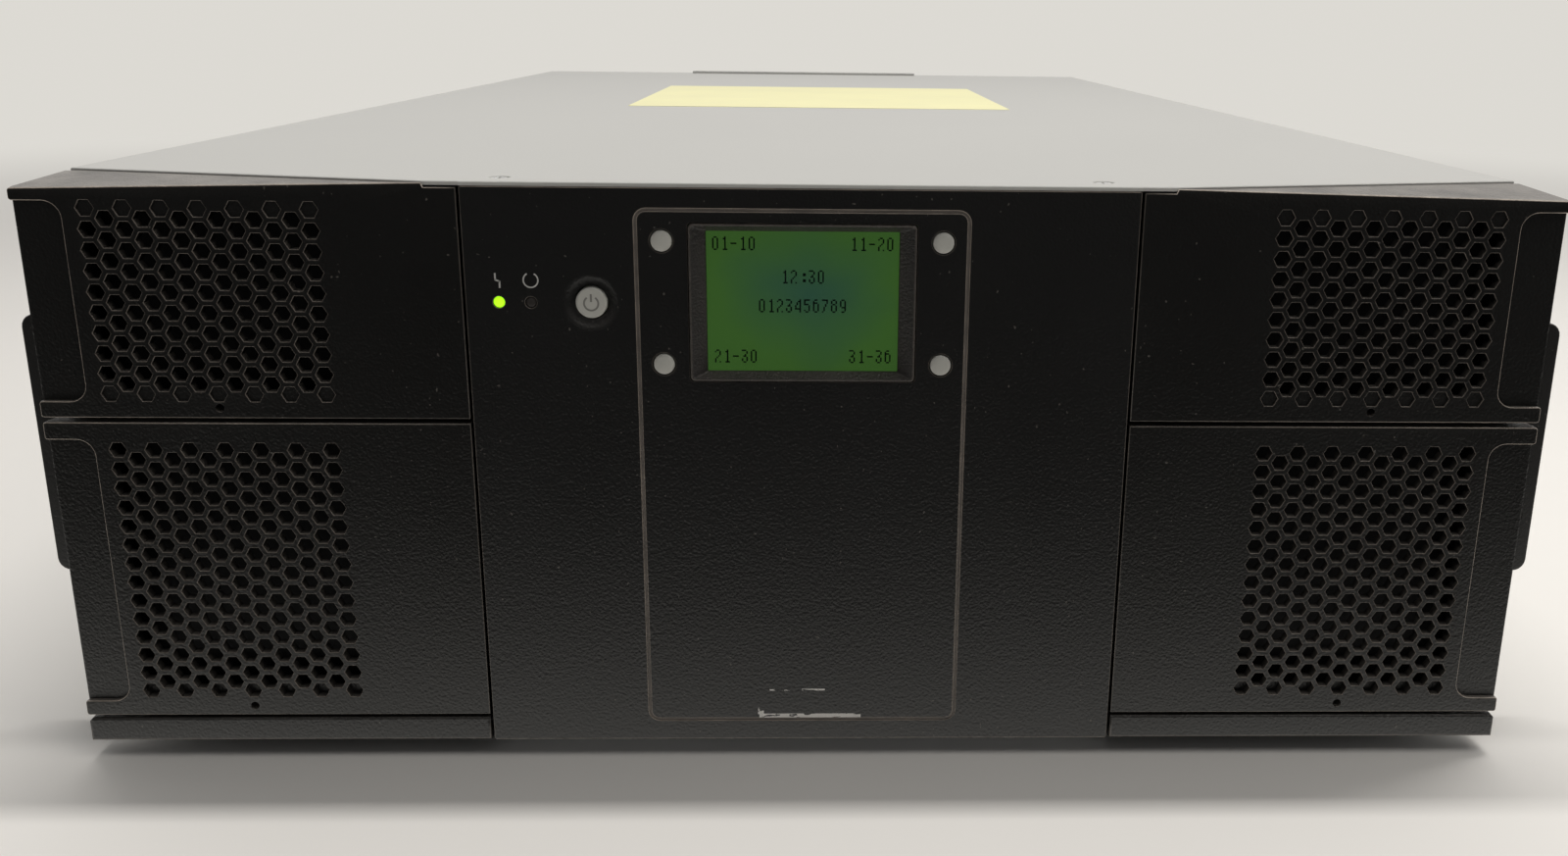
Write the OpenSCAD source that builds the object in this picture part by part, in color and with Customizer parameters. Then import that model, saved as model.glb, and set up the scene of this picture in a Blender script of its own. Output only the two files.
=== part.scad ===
/* [Overall size] */
// Width across the two rack ears
ear_span = 482.6; // [480:0.1:484]
// Width of the moulded front
bezel_w = 445.2; // [443:0.1:447]
// Width of the sheet steel chassis
chassis_w = 435; // [433:0.5:437]
// Height of the chassis, four rack units
chassis_h = 175; // [174.5:0.1:176]
// Depth from the front face to the back panel
chassis_d = 810; // [805:1:830]
// Height of the rubber feet
foot_h = 6; // [4:0.5:10]
// Thickness of the sheet steel
sheet = 1.2; // [1:0.1:1.4]

/* [Front face] */
// Width of the centre fascia
centre_w = 194.4; // [193:0.1:195]
// Gap left between neighbouring front pieces
front_gap = 0.8; // [0.5:0.1:1]
// Wall of the moulded front pieces
front_wall = 3.2; // [2.8:0.1:3.6]
// Height of the two bottom bars
bar_h = 8.1; // [7.5:0.1:8.3]
// Lowest and highest level of the lower magazine doors
lower_door = [9, 103.8]; // [8.6:0.1:104.2]
// Lowest and highest level of the upper magazine doors
upper_door = [105.3, 174.5]; // [104.8:0.1:174.8]
// Depth of the door shells behind the front face
door_d = 14; // [12:0.5:14]
// Depth of the outer side wall of a door
door_wing_d = 24.5; // [22:0.5:25]
// Width of the finger recess at the outer edge of a door
recess_w = 14; // [12:0.5:16]
// Depth of the finger recess
recess_deep = 1.6; // [1:0.1:2]
// Distance from the centre where the sloping top of the upper doors begins
slope_from = 107; // [100:1:115]
// Rearward run of the sloping top per unit of width
slope_run = 0.234; // [0.2:0.002:0.24]
// Fall of the sloping top per unit of depth
slope_fall = 0.092; // [0.08:0.002:0.1]

/* [Hexagon vents] */
// Distance between neighbouring hexagons of one column
vent_pitch = 6; // [5.8:0.1:6.2]
// Width of one hexagon across its flats
vent_flats = 4.5; // [4:0.1:4.8]
// Distance of the vent field's middle column from the centre
vent_x = 170.6; // [168:0.1:172]
// Number of columns in a vent field
vent_cols = 13; // [9:2:15]
// Depth of the blind hexagons at the ends of the long columns, upper and lower door
blind_deep = [0.7, 3]; // [0.4:0.1:3]
// Radius of the latch release pinhole below the vents
pinhole_r = 1.3; // [1:0.1:1.3]
// Hexagons in the long columns of an upper and of a lower door
vent_rows = [10, 14]; // [8:1:14]

/* [Operator panel] */
// Level of the middle of the display, keys and lamps
panel_z = 140.4; // [135:0.1:145]
// Outer width and height of the display frame
frame_size = [66, 46.4]; // [44:0.1:68]
// Width and height of the visible display
display_view = [56, 41.4]; // [38:0.1:58]
// Depth of the display behind the front face
display_deep = 3; // [2:0.1:3.2]
// Distance of the soft keys from the centre line and from panel_z
key_at = [40.55, 18.1]; // [16:0.05:42]
// Diameter of a soft key
key_d = 6.2; // [5.6:0.1:6.6]
// Height of a soft key above the fascia
key_proud = 1; // [0.6:0.1:1.2]
// Travel of a soft key
key_travel = 0.8; // [0.5:0.1:1]
// Place of the power button
power_x = -61.1; // [-65:0.1:-58]
// Diameter of the power button
power_d = 9.2; // [8.5:0.1:9.6]
// Diameter of the dish round the power button
dish_d = 15.6; // [14:0.1:17]
// Places of the two lamps
lamp_x = [-87.6, -78.4]; // [-90:0.1:-74]
// Diameter of a lamp
lamp_d = 3.4; // [3:0.1:3.6]

/* [Magazines] */
// Cartridge size, across the robot aisle, along the magazine and high
cartridge = [105.4, 102, 21.5]; // [21:0.1:106]
// Columns of cartridges in one magazine
mag_cols = 4; // [2:1:4]
// Rows of cartridges in a lower and an upper magazine
mag_rows = [3, 2]; // [1:1:3]
// Lowest and highest level of the lower magazines
lower_mag = [11.5, 101.5]; // [11:0.1:102]
// Lowest and highest level of the upper magazines
upper_mag = [108, 170.5]; // [107.5:0.1:171]
// Start and end of a magazine behind the front face
mag_y = [14, 494]; // [14:1:496]
// Distance from the centre of the magazine's aisle side and its outer side
mag_x = [101.5, 213.6]; // [101:0.1:214]
// Wall of a magazine
mag_wall = 2; // [1.6:0.1:2.4]

/* [Rear modules] */
// Where the tape drives begin behind the front face
drive_y = 530; // [520:1:560]
// Width of a tape drive sled
sled_w = 156; // [150:1:156]
// Width of a power supply
psu_w = 122; // [110:1:124]
// Length of a power supply
psu_len = 200; // [180:5:240]
// Diameter of a power supply fan
fan_d = 60; // [50:1:64]
// How far the handles stand out at the back
handle_reach = 24; // [20:1:30]

/* [Robot] */
// Distance behind the front face where the robot rests
robot_y = 206.5; // [200:0.5:215]
// Radius of a guide rod
rod_r = 3; // [2.5:0.1:3]
// Clearance between a bearing and its rod
bearing_gap = 0.3; // [0.2:0.05:0.4]

/* [Hidden] */
$fn = 48;

shift_y = -(chassis_d + handle_reach - key_proud) / 2;
top_z = chassis_h - sheet;
half_w = chassis_w / 2;
wall_in = half_w - sheet;
door_in = centre_w / 2 + front_gap;
door_out = bezel_w / 2;
edge = 0.8;
rail_x = 89;
rail_z = 7;
bay_x = 81.6;
back_y = chassis_d;
bulk_y = 508;
belt_x = [96.2, 100.2];
belt_ends = [22, 501];
belt_z = 7.4;
pulley_r = 4.4;
drive_pitch = 43;
psu_x = 86.5;
psu_levels = [1.8, 88];
psu_h = 83.6;
hex_r = vent_flats / sqrt(3);
vent_step = vent_pitch * sqrt(3) / 2;
eps = 0.01;

// Colours of the pieces
paint_grey = [0.77, 0.77, 0.75];
zinc = [0.66, 0.67, 0.68];
moulded_black = [0.11, 0.11, 0.11];
tray_black = [0.16, 0.16, 0.17];
key_grey = [0.72, 0.72, 0.69];
board_green = [0.1, 0.32, 0.18];

// Moves a piece from the front lower edge of the chassis to the part's origin
module seated() translate([0, shift_y, foot_h]) children();

// A block between two corners
module block(low, high) translate(low) cube(high - low);

// An outline drawn in X and Z, as thick as from y0 to y1
module upright(y0, y1) translate([0, y1, 0]) rotate([90, 0, 0]) linear_extrude(y1 - y0) children();

// A cylinder along Y and one along X
module rod_y(y0, y1, r) translate([0, y0, 0]) rotate([-90, 0, 0]) cylinder(h = y1 - y0, r = r);
module rod_x(x0, x1, r) translate([x0, 0, 0]) rotate([0, 90, 0]) cylinder(h = x1 - x0, r = r);

// Side 1 is the right one, side -1 the left one
module on_side(side) mirror([side < 0 ? 1 : 0, 0, 0]) children();

// A rectangle with round corners, centred, made of exact arcs
module round_rect(size, r) {
    square([size.x - 2 * r, size.y], center = true);
    square([size.x, size.y - 2 * r], center = true);
    for (x = [-1, 1], y = [-1, 1])
        translate([x * (size.x / 2 - r), y * (size.y / 2 - r)]) circle(r);
}

// ---- sheet steel chassis ----

// Plan of the floor and the cover; the front edge runs back beside the doors
function half_plan(x_out, y_centre, y_door) = [
    [door_in - front_gap, y_centre], [door_in - front_gap, y_door],
    [max(slope_from, door_in), y_door], [x_out, y_door + slope_run * (x_out - slope_from)],
    [x_out, back_y]];

module full_plan(x_out, y_centre, y_door) {
    right = half_plan(x_out, y_centre, y_door);
    polygon(concat(right, [for (i = [len(right) - 1 : -1 : 0]) [-right[i].x, right[i].y]]));
}

module base_pan() color(zinc) seated() difference() {
    linear_extrude(sheet) full_plan(wall_in, front_wall, 12.5);
    for (x = [-150 : 60 : 150], y = [540 : 24 : 780])
        translate([x, y, -1]) cylinder(h = 4, r = 3);
}

module side_wall(side) color(paint_grey) seated() on_side(side) {
    difference() {
        block([wall_in, 27, 0], [half_w, back_y, top_z]);
        for (y = [560 : 12 : 752], z = [30 : 12 : 78])
            translate([wall_in - 1, y, z]) rotate([0, 90, 0]) cylinder(h = 4, r = 3);
    }
    block([wall_in - 9, 27, top_z - sheet], [wall_in + eps, back_y, top_z]);
}

module side_wall_left() side_wall(-1);
module side_wall_right() side_wall(1);

module top_cover() color(paint_grey) seated() difference() {
    union() {
        translate([0, 0, top_z]) linear_extrude(sheet) full_plan(half_w, 0, 0.4);
        block([-100, back_y - 9, chassis_h - eps], [84, back_y, chassis_h + 1.8]);
    }
    for (x = [-88, 88]) translate([x, 11.5, top_z - 1]) cylinder(h = 4, r = 3.1);
}

module cover_screws() color(zinc) seated() for (x = [-88, 88]) translate([x, 11.5, 0]) {
    difference() {
        translate([0, 0, top_z]) cylinder(h = 1.4, r1 = 1.5, r2 = 2.9);
        for (a = [0, 90]) rotate(a) block([-1.7, -0.4, chassis_h - 0.5], [1.7, 0.4, chassis_h + 1]);
    }
    translate([0, 0, top_z - 4.6]) cylinder(h = 4.7, r = 1.45);
}

module fascia_posts() color(zinc) seated() for (side = [-1, 1]) on_side(side) difference() {
    union() {
        block([91.5, front_wall, sheet], [94.5, 14.8, top_z]);
        block([84, 4.5, top_z - 1.6], [92, 14.8, top_z]);
    }
    translate([88, 11.5, top_z - 3]) cylinder(h = 4, r = 1.6);
}

module feet() color([0.08, 0.08, 0.08]) seated()
    for (x = [-190, 190], y = [70, 740]) translate([x, y, -foot_h]) difference() {
        cylinder(h = foot_h, r1 = 9, r2 = 11);
        translate([0, 0, -1]) cylinder(h = 3, r = 3);
    }

module bulkheads() color(zinc) seated() for (side = [-1, 1]) on_side(side) difference() {
    block([bay_x, bulk_y, sheet], [wall_in, bulk_y + sheet, top_z - sheet - 0.1]);
    for (x = [100 : 14 : 200], z = [30 : 14 : 156])
        translate([x, bulk_y - 1, z]) rod_y(0, 4, 4);
}

// Shelf between the magazines of one side, and the strips the lower magazine slides on
module magazine_guides() color(zinc) seated() for (side = [-1, 1]) on_side(side) {
    block([mag_x[0], 27, lower_door[1] - 0.6], [wall_in, bulk_y, lower_door[1] + 1]);
    for (x = [mag_x[0] + 8, mag_x[1] - 14]) {
        block([x, 30, sheet], [x + 6, 492, lower_mag[0] - 0.3]);
        block([x, 30, lower_door[1] + 1], [x + 6, 492, upper_mag[0] - 0.3]);
    }
}

// Walls beside the drives, with the ledges that the sleds run on
module drive_bay_walls() color(zinc) seated() for (side = [-1, 1]) on_side(side) {
    block([bay_x - sheet, bulk_y, sheet], [bay_x, back_y - 2, top_z]);
    for (i = [0 : 3])
        block([sled_w / 2 + 0.4, drive_y + 6, 1.6 + i * drive_pitch + 1],
            [bay_x - sheet + eps, back_y - 12, 1.6 + i * drive_pitch + 3]);
}

module bay_shelves() color(zinc) seated() for (side = [-1, 1]) on_side(side)
    block([bay_x, back_y - 260, 86], [wall_in, back_y - 3, 86 + sheet]);

// Vented sheet above the controller at the back
module vent_panel() color(paint_grey) seated() upright(back_y - 2, back_y) difference() {
    translate([-wall_in, 86 + sheet]) square([wall_in - bay_x, top_z - 86 - 2 * sheet - 0.1]);
    translate([-149, 130.5]) hex_field(17, 9, 7, 6);
}

module backplane() color(board_green) seated() {
    block([-bay_x - 46, 512, 8], [-bay_x, 513.6, 168]);
    for (z = [20 : 26 : 150]) block([-bay_x - 40, 513.6, z], [-bay_x - 8, 520, z + 12]);
}

// ---- fixed front pieces ----

// Hexagon pattern about a centre; odd columns are one hexagon shorter
module hex_field(cols, rows, pitch, flats) for (c = [0 : cols - 1]) {
    count = rows - c % 2;
    for (r = [0 : count - 1])
        translate([(c - (cols - 1) / 2) * pitch * sqrt(3) / 2, ((count - 1) / 2 - r) * pitch])
            circle(r = flats / sqrt(3), $fn = 6);
}

// Outline groove round the operator panel and the cover area below it
module panel_groove() difference() {
    round_rect([96.9, 161.5], 3.5);
    round_rect([94.7, 159.3], 2.4);
}

module centre_fascia() color(moulded_black) seated() difference() {
    union() {
        difference() {
            upright(0, front_wall) translate([-centre_w / 2, 0.1]) square([centre_w, top_z - 0.2]);
            translate([0, 0, 87.2]) upright(-1, 0.5) panel_groove();
        }
        for (side = [-1, 1]) on_side(side)
            block([centre_w / 2 - 2, front_wall - eps, 2], [centre_w / 2, 12, top_z - 0.1]);
        for (x = [-60 : 30 : 60]) block([x - 0.8, front_wall - eps, 6], [x + 0.8, 9, 104]);
        for (z = [6, 38, 70, 102]) block([-88, front_wall - eps, z], [88, 8, z + 1.6]);
    }
    translate([0, 0, panel_z]) upright(-1, 5) square(frame_size + [0.3, 0.3], center = true);
    for (x = [-1, 1], z = [-1, 1])
        translate([x * key_at[0], 0, panel_z + z * key_at[1]]) rod_y(-1, 5, key_d / 2 + 0.3);
    translate([power_x, 0, panel_z]) {
        rod_y(-1, 5, power_d / 2 + 0.3);
        translate([0, -1, 0]) rotate([-90, 0, 0])
            cylinder(h = 2.4, r1 = dish_d / 2 + 1, r2 = dish_d / 2 - 1.4);
    }
    for (x = lamp_x) translate([x, 0, panel_z]) rod_y(-1, 5, lamp_d / 2);
}

// Picture frame whose faces slope back to the glass
module display_frame() color([0.14, 0.14, 0.14]) seated() translate([0, 0, panel_z]) difference() {
    upright(-0.6, display_deep) square(frame_size, center = true);
    hull() {
        upright(display_deep, display_deep + eps) square(display_view, center = true);
        upright(-0.6 - eps, -0.6) square(frame_size - [1.6, 1.6], center = true);
    }
}

module display_window() color([0.2, 0.4, 0.1, 0.4]) seated() translate([0, 0, panel_z])
    upright(display_deep, display_deep + 1.4) square([62, 44.6], center = true);

module display_module() color([0.3, 0.45, 0.12]) seated() translate([0, 0, panel_z])
    upright(display_deep + 1.4, 9.4) square([62, 44.6], center = true);

// Board behind the fascia, with a switch behind each key
module front_board() color(board_green) seated() {
    block([-91.5, 9.4, 112], [91.5, 11, 168]);
    for (x = [-1, 1], z = [-1, 1])
        translate([x * key_at[0], 0, panel_z + z * key_at[1]]) block([-3, 7.4, -3], [3, 9.4, 3]);
    translate([power_x, 0, panel_z]) block([-4, 7.4, -4], [4, 9.4, 4]);
}

module lamp(x) seated() translate([x, 0, panel_z]) rod_y(0.1, 9.4, lamp_d / 2 - 0.05);
module lamp_ready() color([0.6, 0.95, 0.2]) lamp(lamp_x[0]);
module lamp_fault() color([0.28, 0.24, 0.22]) lamp(lamp_x[1]);

// Moulded bar below the lower door, hollow from behind
module bottom_bar(side) color(moulded_black) seated() on_side(side) difference() {
    translate([0, 0, 0.1]) linear_extrude(bar_h) polygon([[door_in, 0], [door_out - edge, 0],
        [door_out, edge], [door_out - 2.2, 12.5], [door_in, 12.5]]);
    block([door_in + 2, front_wall, 1.8], [door_out - 4.4, 13, bar_h - 1.7]);
    translate([door_out, -1, bar_h + 0.1]) rotate([0, 45, 0]) cube([1.9, 30, 1.9], center = true);
}

module bottom_bar_left() bottom_bar(-1);
module bottom_bar_right() bottom_bar(1);

// Folded ear with two slots, fixed to the outside of the side wall
module rack_ear(side) color(moulded_black) seated() on_side(side) {
    translate([0, 0, chassis_h / 2]) upright(30, 32.5) difference() {
        translate([(half_w + ear_span / 2) / 2, 0]) round_rect([ear_span / 2 - half_w, 84.4], 4);
        for (z = [-1, 1]) translate([465.1 / 2, z * 22.225]) {
            square([3.2, 6.8], center = true);
            for (x = [-1.6, 1.6]) translate([x, 0]) circle(3.4);
        }
    }
    block([half_w, 30, chassis_h / 2 - 36], [half_w + 2, 66, chassis_h / 2 + 36]);
}

module rack_ear_left() rack_ear(-1);
module rack_ear_right() rack_ear(1);

// ---- keys ----

// Domed cap on a stem; at is its place on the panel
module push_key(at, d, proud) seated() translate([at[0], 0, at[1]]) {
    intersection() {
        rod_y(-proud, 4, d / 2);
        translate([0, d - proud, 0]) sphere(d);
    }
    rod_y(3.9, 6.4, d / 3);
}

module soft_key_1() color(key_grey) push_key([-key_at[0], panel_z + key_at[1]], key_d, key_proud);
module soft_key_2() color(key_grey) push_key([-key_at[0], panel_z - key_at[1]], key_d, key_proud);
module soft_key_3() color(key_grey) push_key([key_at[0], panel_z + key_at[1]], key_d, key_proud);
module soft_key_4() color(key_grey) push_key([key_at[0], panel_z - key_at[1]], key_d, key_proud);
module power_button() color(key_grey) push_key([power_x, panel_z], power_d, 0.3);

// ---- magazines ----

// Plan of a door shell, with its outer wall running back to the chassis
door_plan = [[door_in, 0], [door_out - edge, 0], [door_out, edge], [half_w + 0.8, door_wing_d],
    [half_w - 1.6, door_wing_d], [half_w + 0.2, door_d], [door_in, door_d]];

// Hexagons at the top end (1) or the bottom end (-1) of the long columns
module hex_ends(rows, ends) for (c = [0 : 2 : vent_cols - 1], end = ends)
    translate([(c - (vent_cols - 1) / 2) * vent_step, end * (rows - 1) / 2 * vent_pitch])
        circle(r = hex_r, $fn = 6);

// Shell of a door: pierced front, walls on four sides, ribs and four screw bosses; roof is its top wall
module door_shell(levels, rows, ends, deep, roof) {
    mid = (levels[0] + min(levels[1], top_z)) / 2;
    zone = [vent_cols * vent_step + 2, rows * vent_pitch + 2];
    difference() {
        union() {
            difference() {
                translate([0, 0, levels[0]]) linear_extrude(levels[1] - levels[0]) polygon(door_plan);
                block([door_in + 2, front_wall, levels[0] + 2],
                    [half_w + 0.2, door_d + 20, levels[1] - roof]);
                translate([vent_x, 0, mid]) upright(-1, front_wall + 1) square(zone, center = true);
            }
            translate([vent_x, 0, mid]) upright(0, front_wall) difference() {
                square(zone + [eps, eps], center = true);
                difference() {
                    hex_field(vent_cols, rows, vent_pitch, vent_flats);
                    hex_ends(rows, ends);
                }
            }
            if (deep > front_wall / 2) translate([vent_x, 0, mid - (rows - 1) / 2 * vent_pitch])
                upright(front_wall - eps, front_wall + 1.2) square([zone.x, vent_pitch], center = true);
            door_ribs(levels[0], levels[1] - roof);
        }
        translate([vent_x, 0, mid]) upright(-1, deep) hex_ends(rows, ends);
        door_recess(levels[0] + 4.9, levels[1] - max(roof + 1, 5.3));
        translate([vent_x, 0, levels[0] + 3.1]) rod_y(-1, 5, pinhole_r);
    }
}

// Stiffening ribs beside the vents, and bosses for the screws that hold the door to its magazine
module door_ribs(z0, z1) {
    for (x = [door_in + 16, door_in + 27])
        block([x, front_wall - eps, z0 + 1.9], [x + 1.6, door_d - 3, z1 + 0.1]);
    for (x = [door_in + 7, half_w - 8.5], z = [z0 + 11, z1 - 9]) translate([x, 0, z]) difference() {
        rod_y(front_wall - 1, door_d, 3.2);
        rod_y(door_d - 8, door_d + 1, 1.2);
    }
}

// Shallow step at the outer edge where the fingers reach round the door
module door_recess(z0, z1) upright(-1, recess_deep) translate([door_out, (z0 + z1) / 2])
    round_rect([2 * recess_w, z1 - z0], 5);

// Space kept clear below the cover, and the plane of the sloping top
module cover_room() translate([0, 0, top_z - 0.6]) linear_extrude(5)
    polygon([[door_in - 1, -1], [slope_from, -1], [slope_from, -0.5],
        [door_out + 5, slope_run * (door_out + 5 - slope_from) - 0.5],
        [door_out + 5, 60], [door_in - 1, 60]]);

slope_norm = norm([slope_fall * slope_run, -slope_fall, 1]);
slope_pitch = asin(slope_fall / slope_norm);
slope_roll = asin(slope_fall * slope_run / slope_norm / cos(slope_pitch));
module above_slope() translate([slope_from, 0, upper_door[1]]) rotate([slope_pitch, slope_roll, 0])
    translate([-40, -40, 0]) cube([200, 120, 20]);

// The outer end of the sloping top reaches back over the magazine
module upper_door_piece(side) color(moulded_black) seated() on_side(side) difference() {
    union() {
        door_shell(upper_door, vent_rows[0], [-1, 1], blind_deep[0], 5);
        block([slope_from + 50, door_d - eps, upper_mag[1] + 0.6],
            [half_w - 1, door_wing_d, upper_door[1]]);
    }
    cover_room();
    above_slope();
}

module lower_door_piece(side) color(moulded_black) seated() on_side(side)
    door_shell(lower_door, vent_rows[1], [-1], blind_deep[1], 2);

module door_upper_left() upper_door_piece(-1);
module door_upper_right() upper_door_piece(1);
module door_lower_left() lower_door_piece(-1);
module door_lower_right() lower_door_piece(1);

cell_y0 = mag_y[0] + 22;
cell_len = (mag_y[1] - cell_y0 - mag_wall) / mag_cols;
function cell_h(levels, rows) = (levels[1] - levels[0] - mag_wall) / rows;

// Rack of open cells: outer wall, shelves, dividers and a front block behind the door
module magazine(side, levels, rows) color(tray_black) seated() on_side(side) difference() {
    block([mag_x[0], mag_y[0], levels[0]], [mag_x[1], mag_y[1], levels[1]]);
    for (c = [0 : mag_cols - 1], r = [0 : rows - 1])
        block([mag_x[0] - 1, cell_y0 + c * cell_len + mag_wall,
                levels[0] + r * cell_h(levels, rows) + mag_wall],
            [mag_x[1] - 2.4, cell_y0 + (c + 1) * cell_len,
                levels[0] + (r + 1) * cell_h(levels, rows)]);
    block([mag_x[0] + 10, mag_y[0] + 4, levels[0] + 6], [mag_x[1] - 20, cell_y0 - 2, levels[1] + 1]);
    for (c = [0 : mag_cols - 1], r = [0 : rows - 1])
        translate([0, cell_y0 + (c + 0.5) * cell_len + mag_wall / 2,
            levels[0] + (r + 0.5) * cell_h(levels, rows) + mag_wall / 2])
            rotate([0, 0, 90]) upright(-mag_x[1] - 1, 3 - mag_x[1]) round_rect([70, 13], 4);
}

// Tape cartridge with its label end towards the aisle: label recess, finger grips, hub and leader door
module tape_cartridge() difference() {
    cube(cartridge);
    translate([-1, 10, 4]) cube([1.4, cartridge.y - 20, 13.5]);
    for (y = [-1, cartridge.y - 1.2], x = [8 : 3 : 20]) translate([x, y, 3]) cube([1.4, 2.2, 15.5]);
    translate([cartridge.x * 0.55, cartridge.y / 2, -1]) cylinder(h = 1.8, r = 19);
    translate([cartridge.x - 18, cartridge.y - 0.8, 3]) cube([14, 2, 15.5]);
    translate([cartridge.x, 0, -1]) rotate(45) cube([7, 7, 50], center = true);
}

module cartridges(side, levels, rows) color([0.2, 0.2, 0.22]) seated() on_side(side)
    for (c = [0 : mag_cols - 1], r = [0 : rows - 1])
        translate([mag_x[0] + 2, cell_y0 + (c + 0.5) * cell_len + mag_wall / 2 - cartridge.y / 2,
            levels[0] + r * cell_h(levels, rows) + mag_wall]) tape_cartridge();

module magazine_lower_left() magazine(-1, lower_mag, mag_rows[0]);
module magazine_lower_right() magazine(1, lower_mag, mag_rows[0]);
module magazine_upper_left() magazine(-1, upper_mag, mag_rows[1]);
module magazine_upper_right() magazine(1, upper_mag, mag_rows[1]);
module cartridges_lower_left() cartridges(-1, lower_mag, mag_rows[0]);
module cartridges_lower_right() cartridges(1, lower_mag, mag_rows[0]);
module cartridges_upper_left() cartridges(-1, upper_mag, mag_rows[1]);
module cartridges_upper_right() cartridges(1, upper_mag, mag_rows[1]);

// ---- robot ----

module robot_rails() color(zinc) seated() for (side = [-1, 1]) on_side(side) {
    for (y = [15, 502.5]) block([rail_x - 6, y, sheet], [rail_x + 6, y + 5.5, 12]);
    translate([rail_x, 0, rail_z]) rod_y(20, 503, rod_r);
}

// Closed belt beside the left rail
module travel_belt() color([0.1, 0.1, 0.1]) seated() translate([0, 0, belt_z]) rotate([90, 0, -90])
    translate([0, 0, belt_x[0]]) linear_extrude(belt_x[1] - belt_x[0]) difference() {
        belt_outline(pulley_r + 1.5);
        belt_outline(pulley_r + 0.3);
    }

module belt_outline(r) {
    translate([-belt_ends[1], -r]) square([belt_ends[1] - belt_ends[0], 2 * r]);
    for (y = belt_ends) translate([-y, 0]) circle(r);
}

module travel_motor() color([0.2, 0.2, 0.22]) seated() difference() {
    union() {
        translate([0, belt_ends[1], belt_z]) rod_x(-140, -102, 5.8);
        block([-138, belt_ends[1] - 5, sheet], [-104, belt_ends[1] + 5, belt_z - 2]);
        block([-106, belt_ends[0] - 5, sheet], [-102, belt_ends[0] + 5, 11]);
    }
    translate([0, belt_ends[1], belt_z]) rod_x(-112, -101, 1.8);
    translate([0, belt_ends[0], belt_z]) rod_x(-107, -101, 1.8);
}

module pulley(y) color([0.75, 0.62, 0.3]) seated() translate([0, y, belt_z]) {
    rod_x(-belt_x[1], -belt_x[0] + 0.4, pulley_r);
    rod_x(-105.5, -belt_x[1] + 0.1, 1.5);
}

module motor_pulley() pulley(belt_ends[1]);
module idler_pulley() pulley(belt_ends[0]);

// Low plate on four bearings
module robot_base() color(zinc) seated() translate([0, robot_y, 0]) difference() {
    union() {
        block([-93, -70, 2], [93, 60, 4]);
        for (side = [-1, 1], y = [-68, 36]) on_side(side)
            block([rail_x - 6, y, 2], [rail_x + 6, y + 22, 12]);
        block([-100, -10, 3], [-92, 10, 4]);
    }
    for (side = [-1, 1]) on_side(side) translate([rail_x, 0, rail_z]) rod_y(-80, 80, rod_r + bearing_gap);
}

// Two channel posts with a guide rod in each and a bar across the top
module robot_masts() color([0.3, 0.3, 0.32]) seated() translate([0, robot_y, 0]) {
    for (side = [-1, 1]) on_side(side) {
        difference() {
            block([70, -68, 12], [82, -56, 168]);
            block([71.2, -66.8, 11], [80.8, -55, 166]);
        }
        block([70, -68, 4], [82, -56, 12 + eps]);
        translate([76, -61, 10]) cylinder(h = 157, r = 2);
    }
    block([-82, -68, 165], [82, -58, 168]);
}

module robot_elevator() color([0.25, 0.25, 0.27]) seated() translate([0, robot_y, 0]) {
    block([-70, -48, 5], [70, 50, 7]);
    for (side = [-1, 1]) on_side(side) difference() {
        union() {
            block([71.8, -64.5, 13], [80.2, -52, 32]);
            block([68, -52.5, 5], [80.2, -44, 32]);
        }
        translate([76, -61, 0]) cylinder(h = 60, r = 2.4);
    }
    translate([0, 0, 6]) cylinder(h = 4, r = 5);
}

// Turning tray that holds one cartridge
module robot_picker() color([0.18, 0.18, 0.2]) seated() translate([0, robot_y, 0]) difference() {
    union() {
        translate([0, 0, 7.6]) cylinder(h = 3, r = 20);
        block([-55, -42, 10.3], [55, 45, 12.3]);
        for (side = [-1, 1]) on_side(side) block([53, -42, 10.3], [55, 45, 36]);
        block([-55, -42, 34], [55, -20, 36]);
        for (side = [-1, 1]) on_side(side) block([18, -40, 12.2], [22, 44, 12.8]);
    }
    translate([0, 0, 7]) cylinder(h = 3.3, r = 5.4);
}

module robot_gripper() color(zinc) seated() translate([0, robot_y, 0]) {
    block([-36, -24, 13], [36, -8, 30]);
    for (side = [-1, 1]) on_side(side) block([39.5, -24, 16], [42.5, 52, 26]);
    block([-42.5, -24, 16], [42.5, -20, 26]);
}

// ---- rear modules ----

// Sled with its drive: case, rear plate, pull tab, two thumbscrews and two connectors
module tape_drive(i) color([0.6, 0.61, 0.62]) seated() translate([0, 0, 1.6 + i * drive_pitch]) difference() {
    union() {
        block([-73, drive_y, 0.6], [73, drive_y + 6, 41.4]);
        block([-sled_w / 2 + 4, drive_y + 6, 0.6], [sled_w / 2 - 4, back_y - 10, 41.8]);
        for (side = [-1, 1]) on_side(side)
            block([sled_w / 2 - 4.1, drive_y + 10, 3.2], [sled_w / 2 + 1.9, back_y - 10, 4.4]);
        block([-sled_w / 2 - 1, back_y - 10.1, 0.3], [sled_w / 2 + 1, back_y + 1.2, 42.3]);
        for (x = [-70, 70]) translate([x, 0, 8]) rod_y(back_y, back_y + 11, 4.5);
        block([-12, back_y, 5], [12, back_y + 20, 8]);
        block([-12, back_y + 17, 5], [12, back_y + 20, 14]);
    }
    block([-56, drive_y - 1, 10], [56, drive_y + 4, 35]);
    for (x = [-44, -18]) difference() {
        block([x, back_y - 2.6, 14], [x + 20, back_y + 2, 26]);
        block([x + 2.5, back_y - 3, 19], [x + 17.5, back_y + 0.6, 21]);
    }
    for (x = [2, 7]) translate([x, 0, 34]) rod_y(back_y + 0.2, back_y + 2, 1.2);
    translate([30, 0, 22]) upright(back_y - 2.6, back_y + 2) hex_field(9, 5, 5, 3.8);
}

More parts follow.
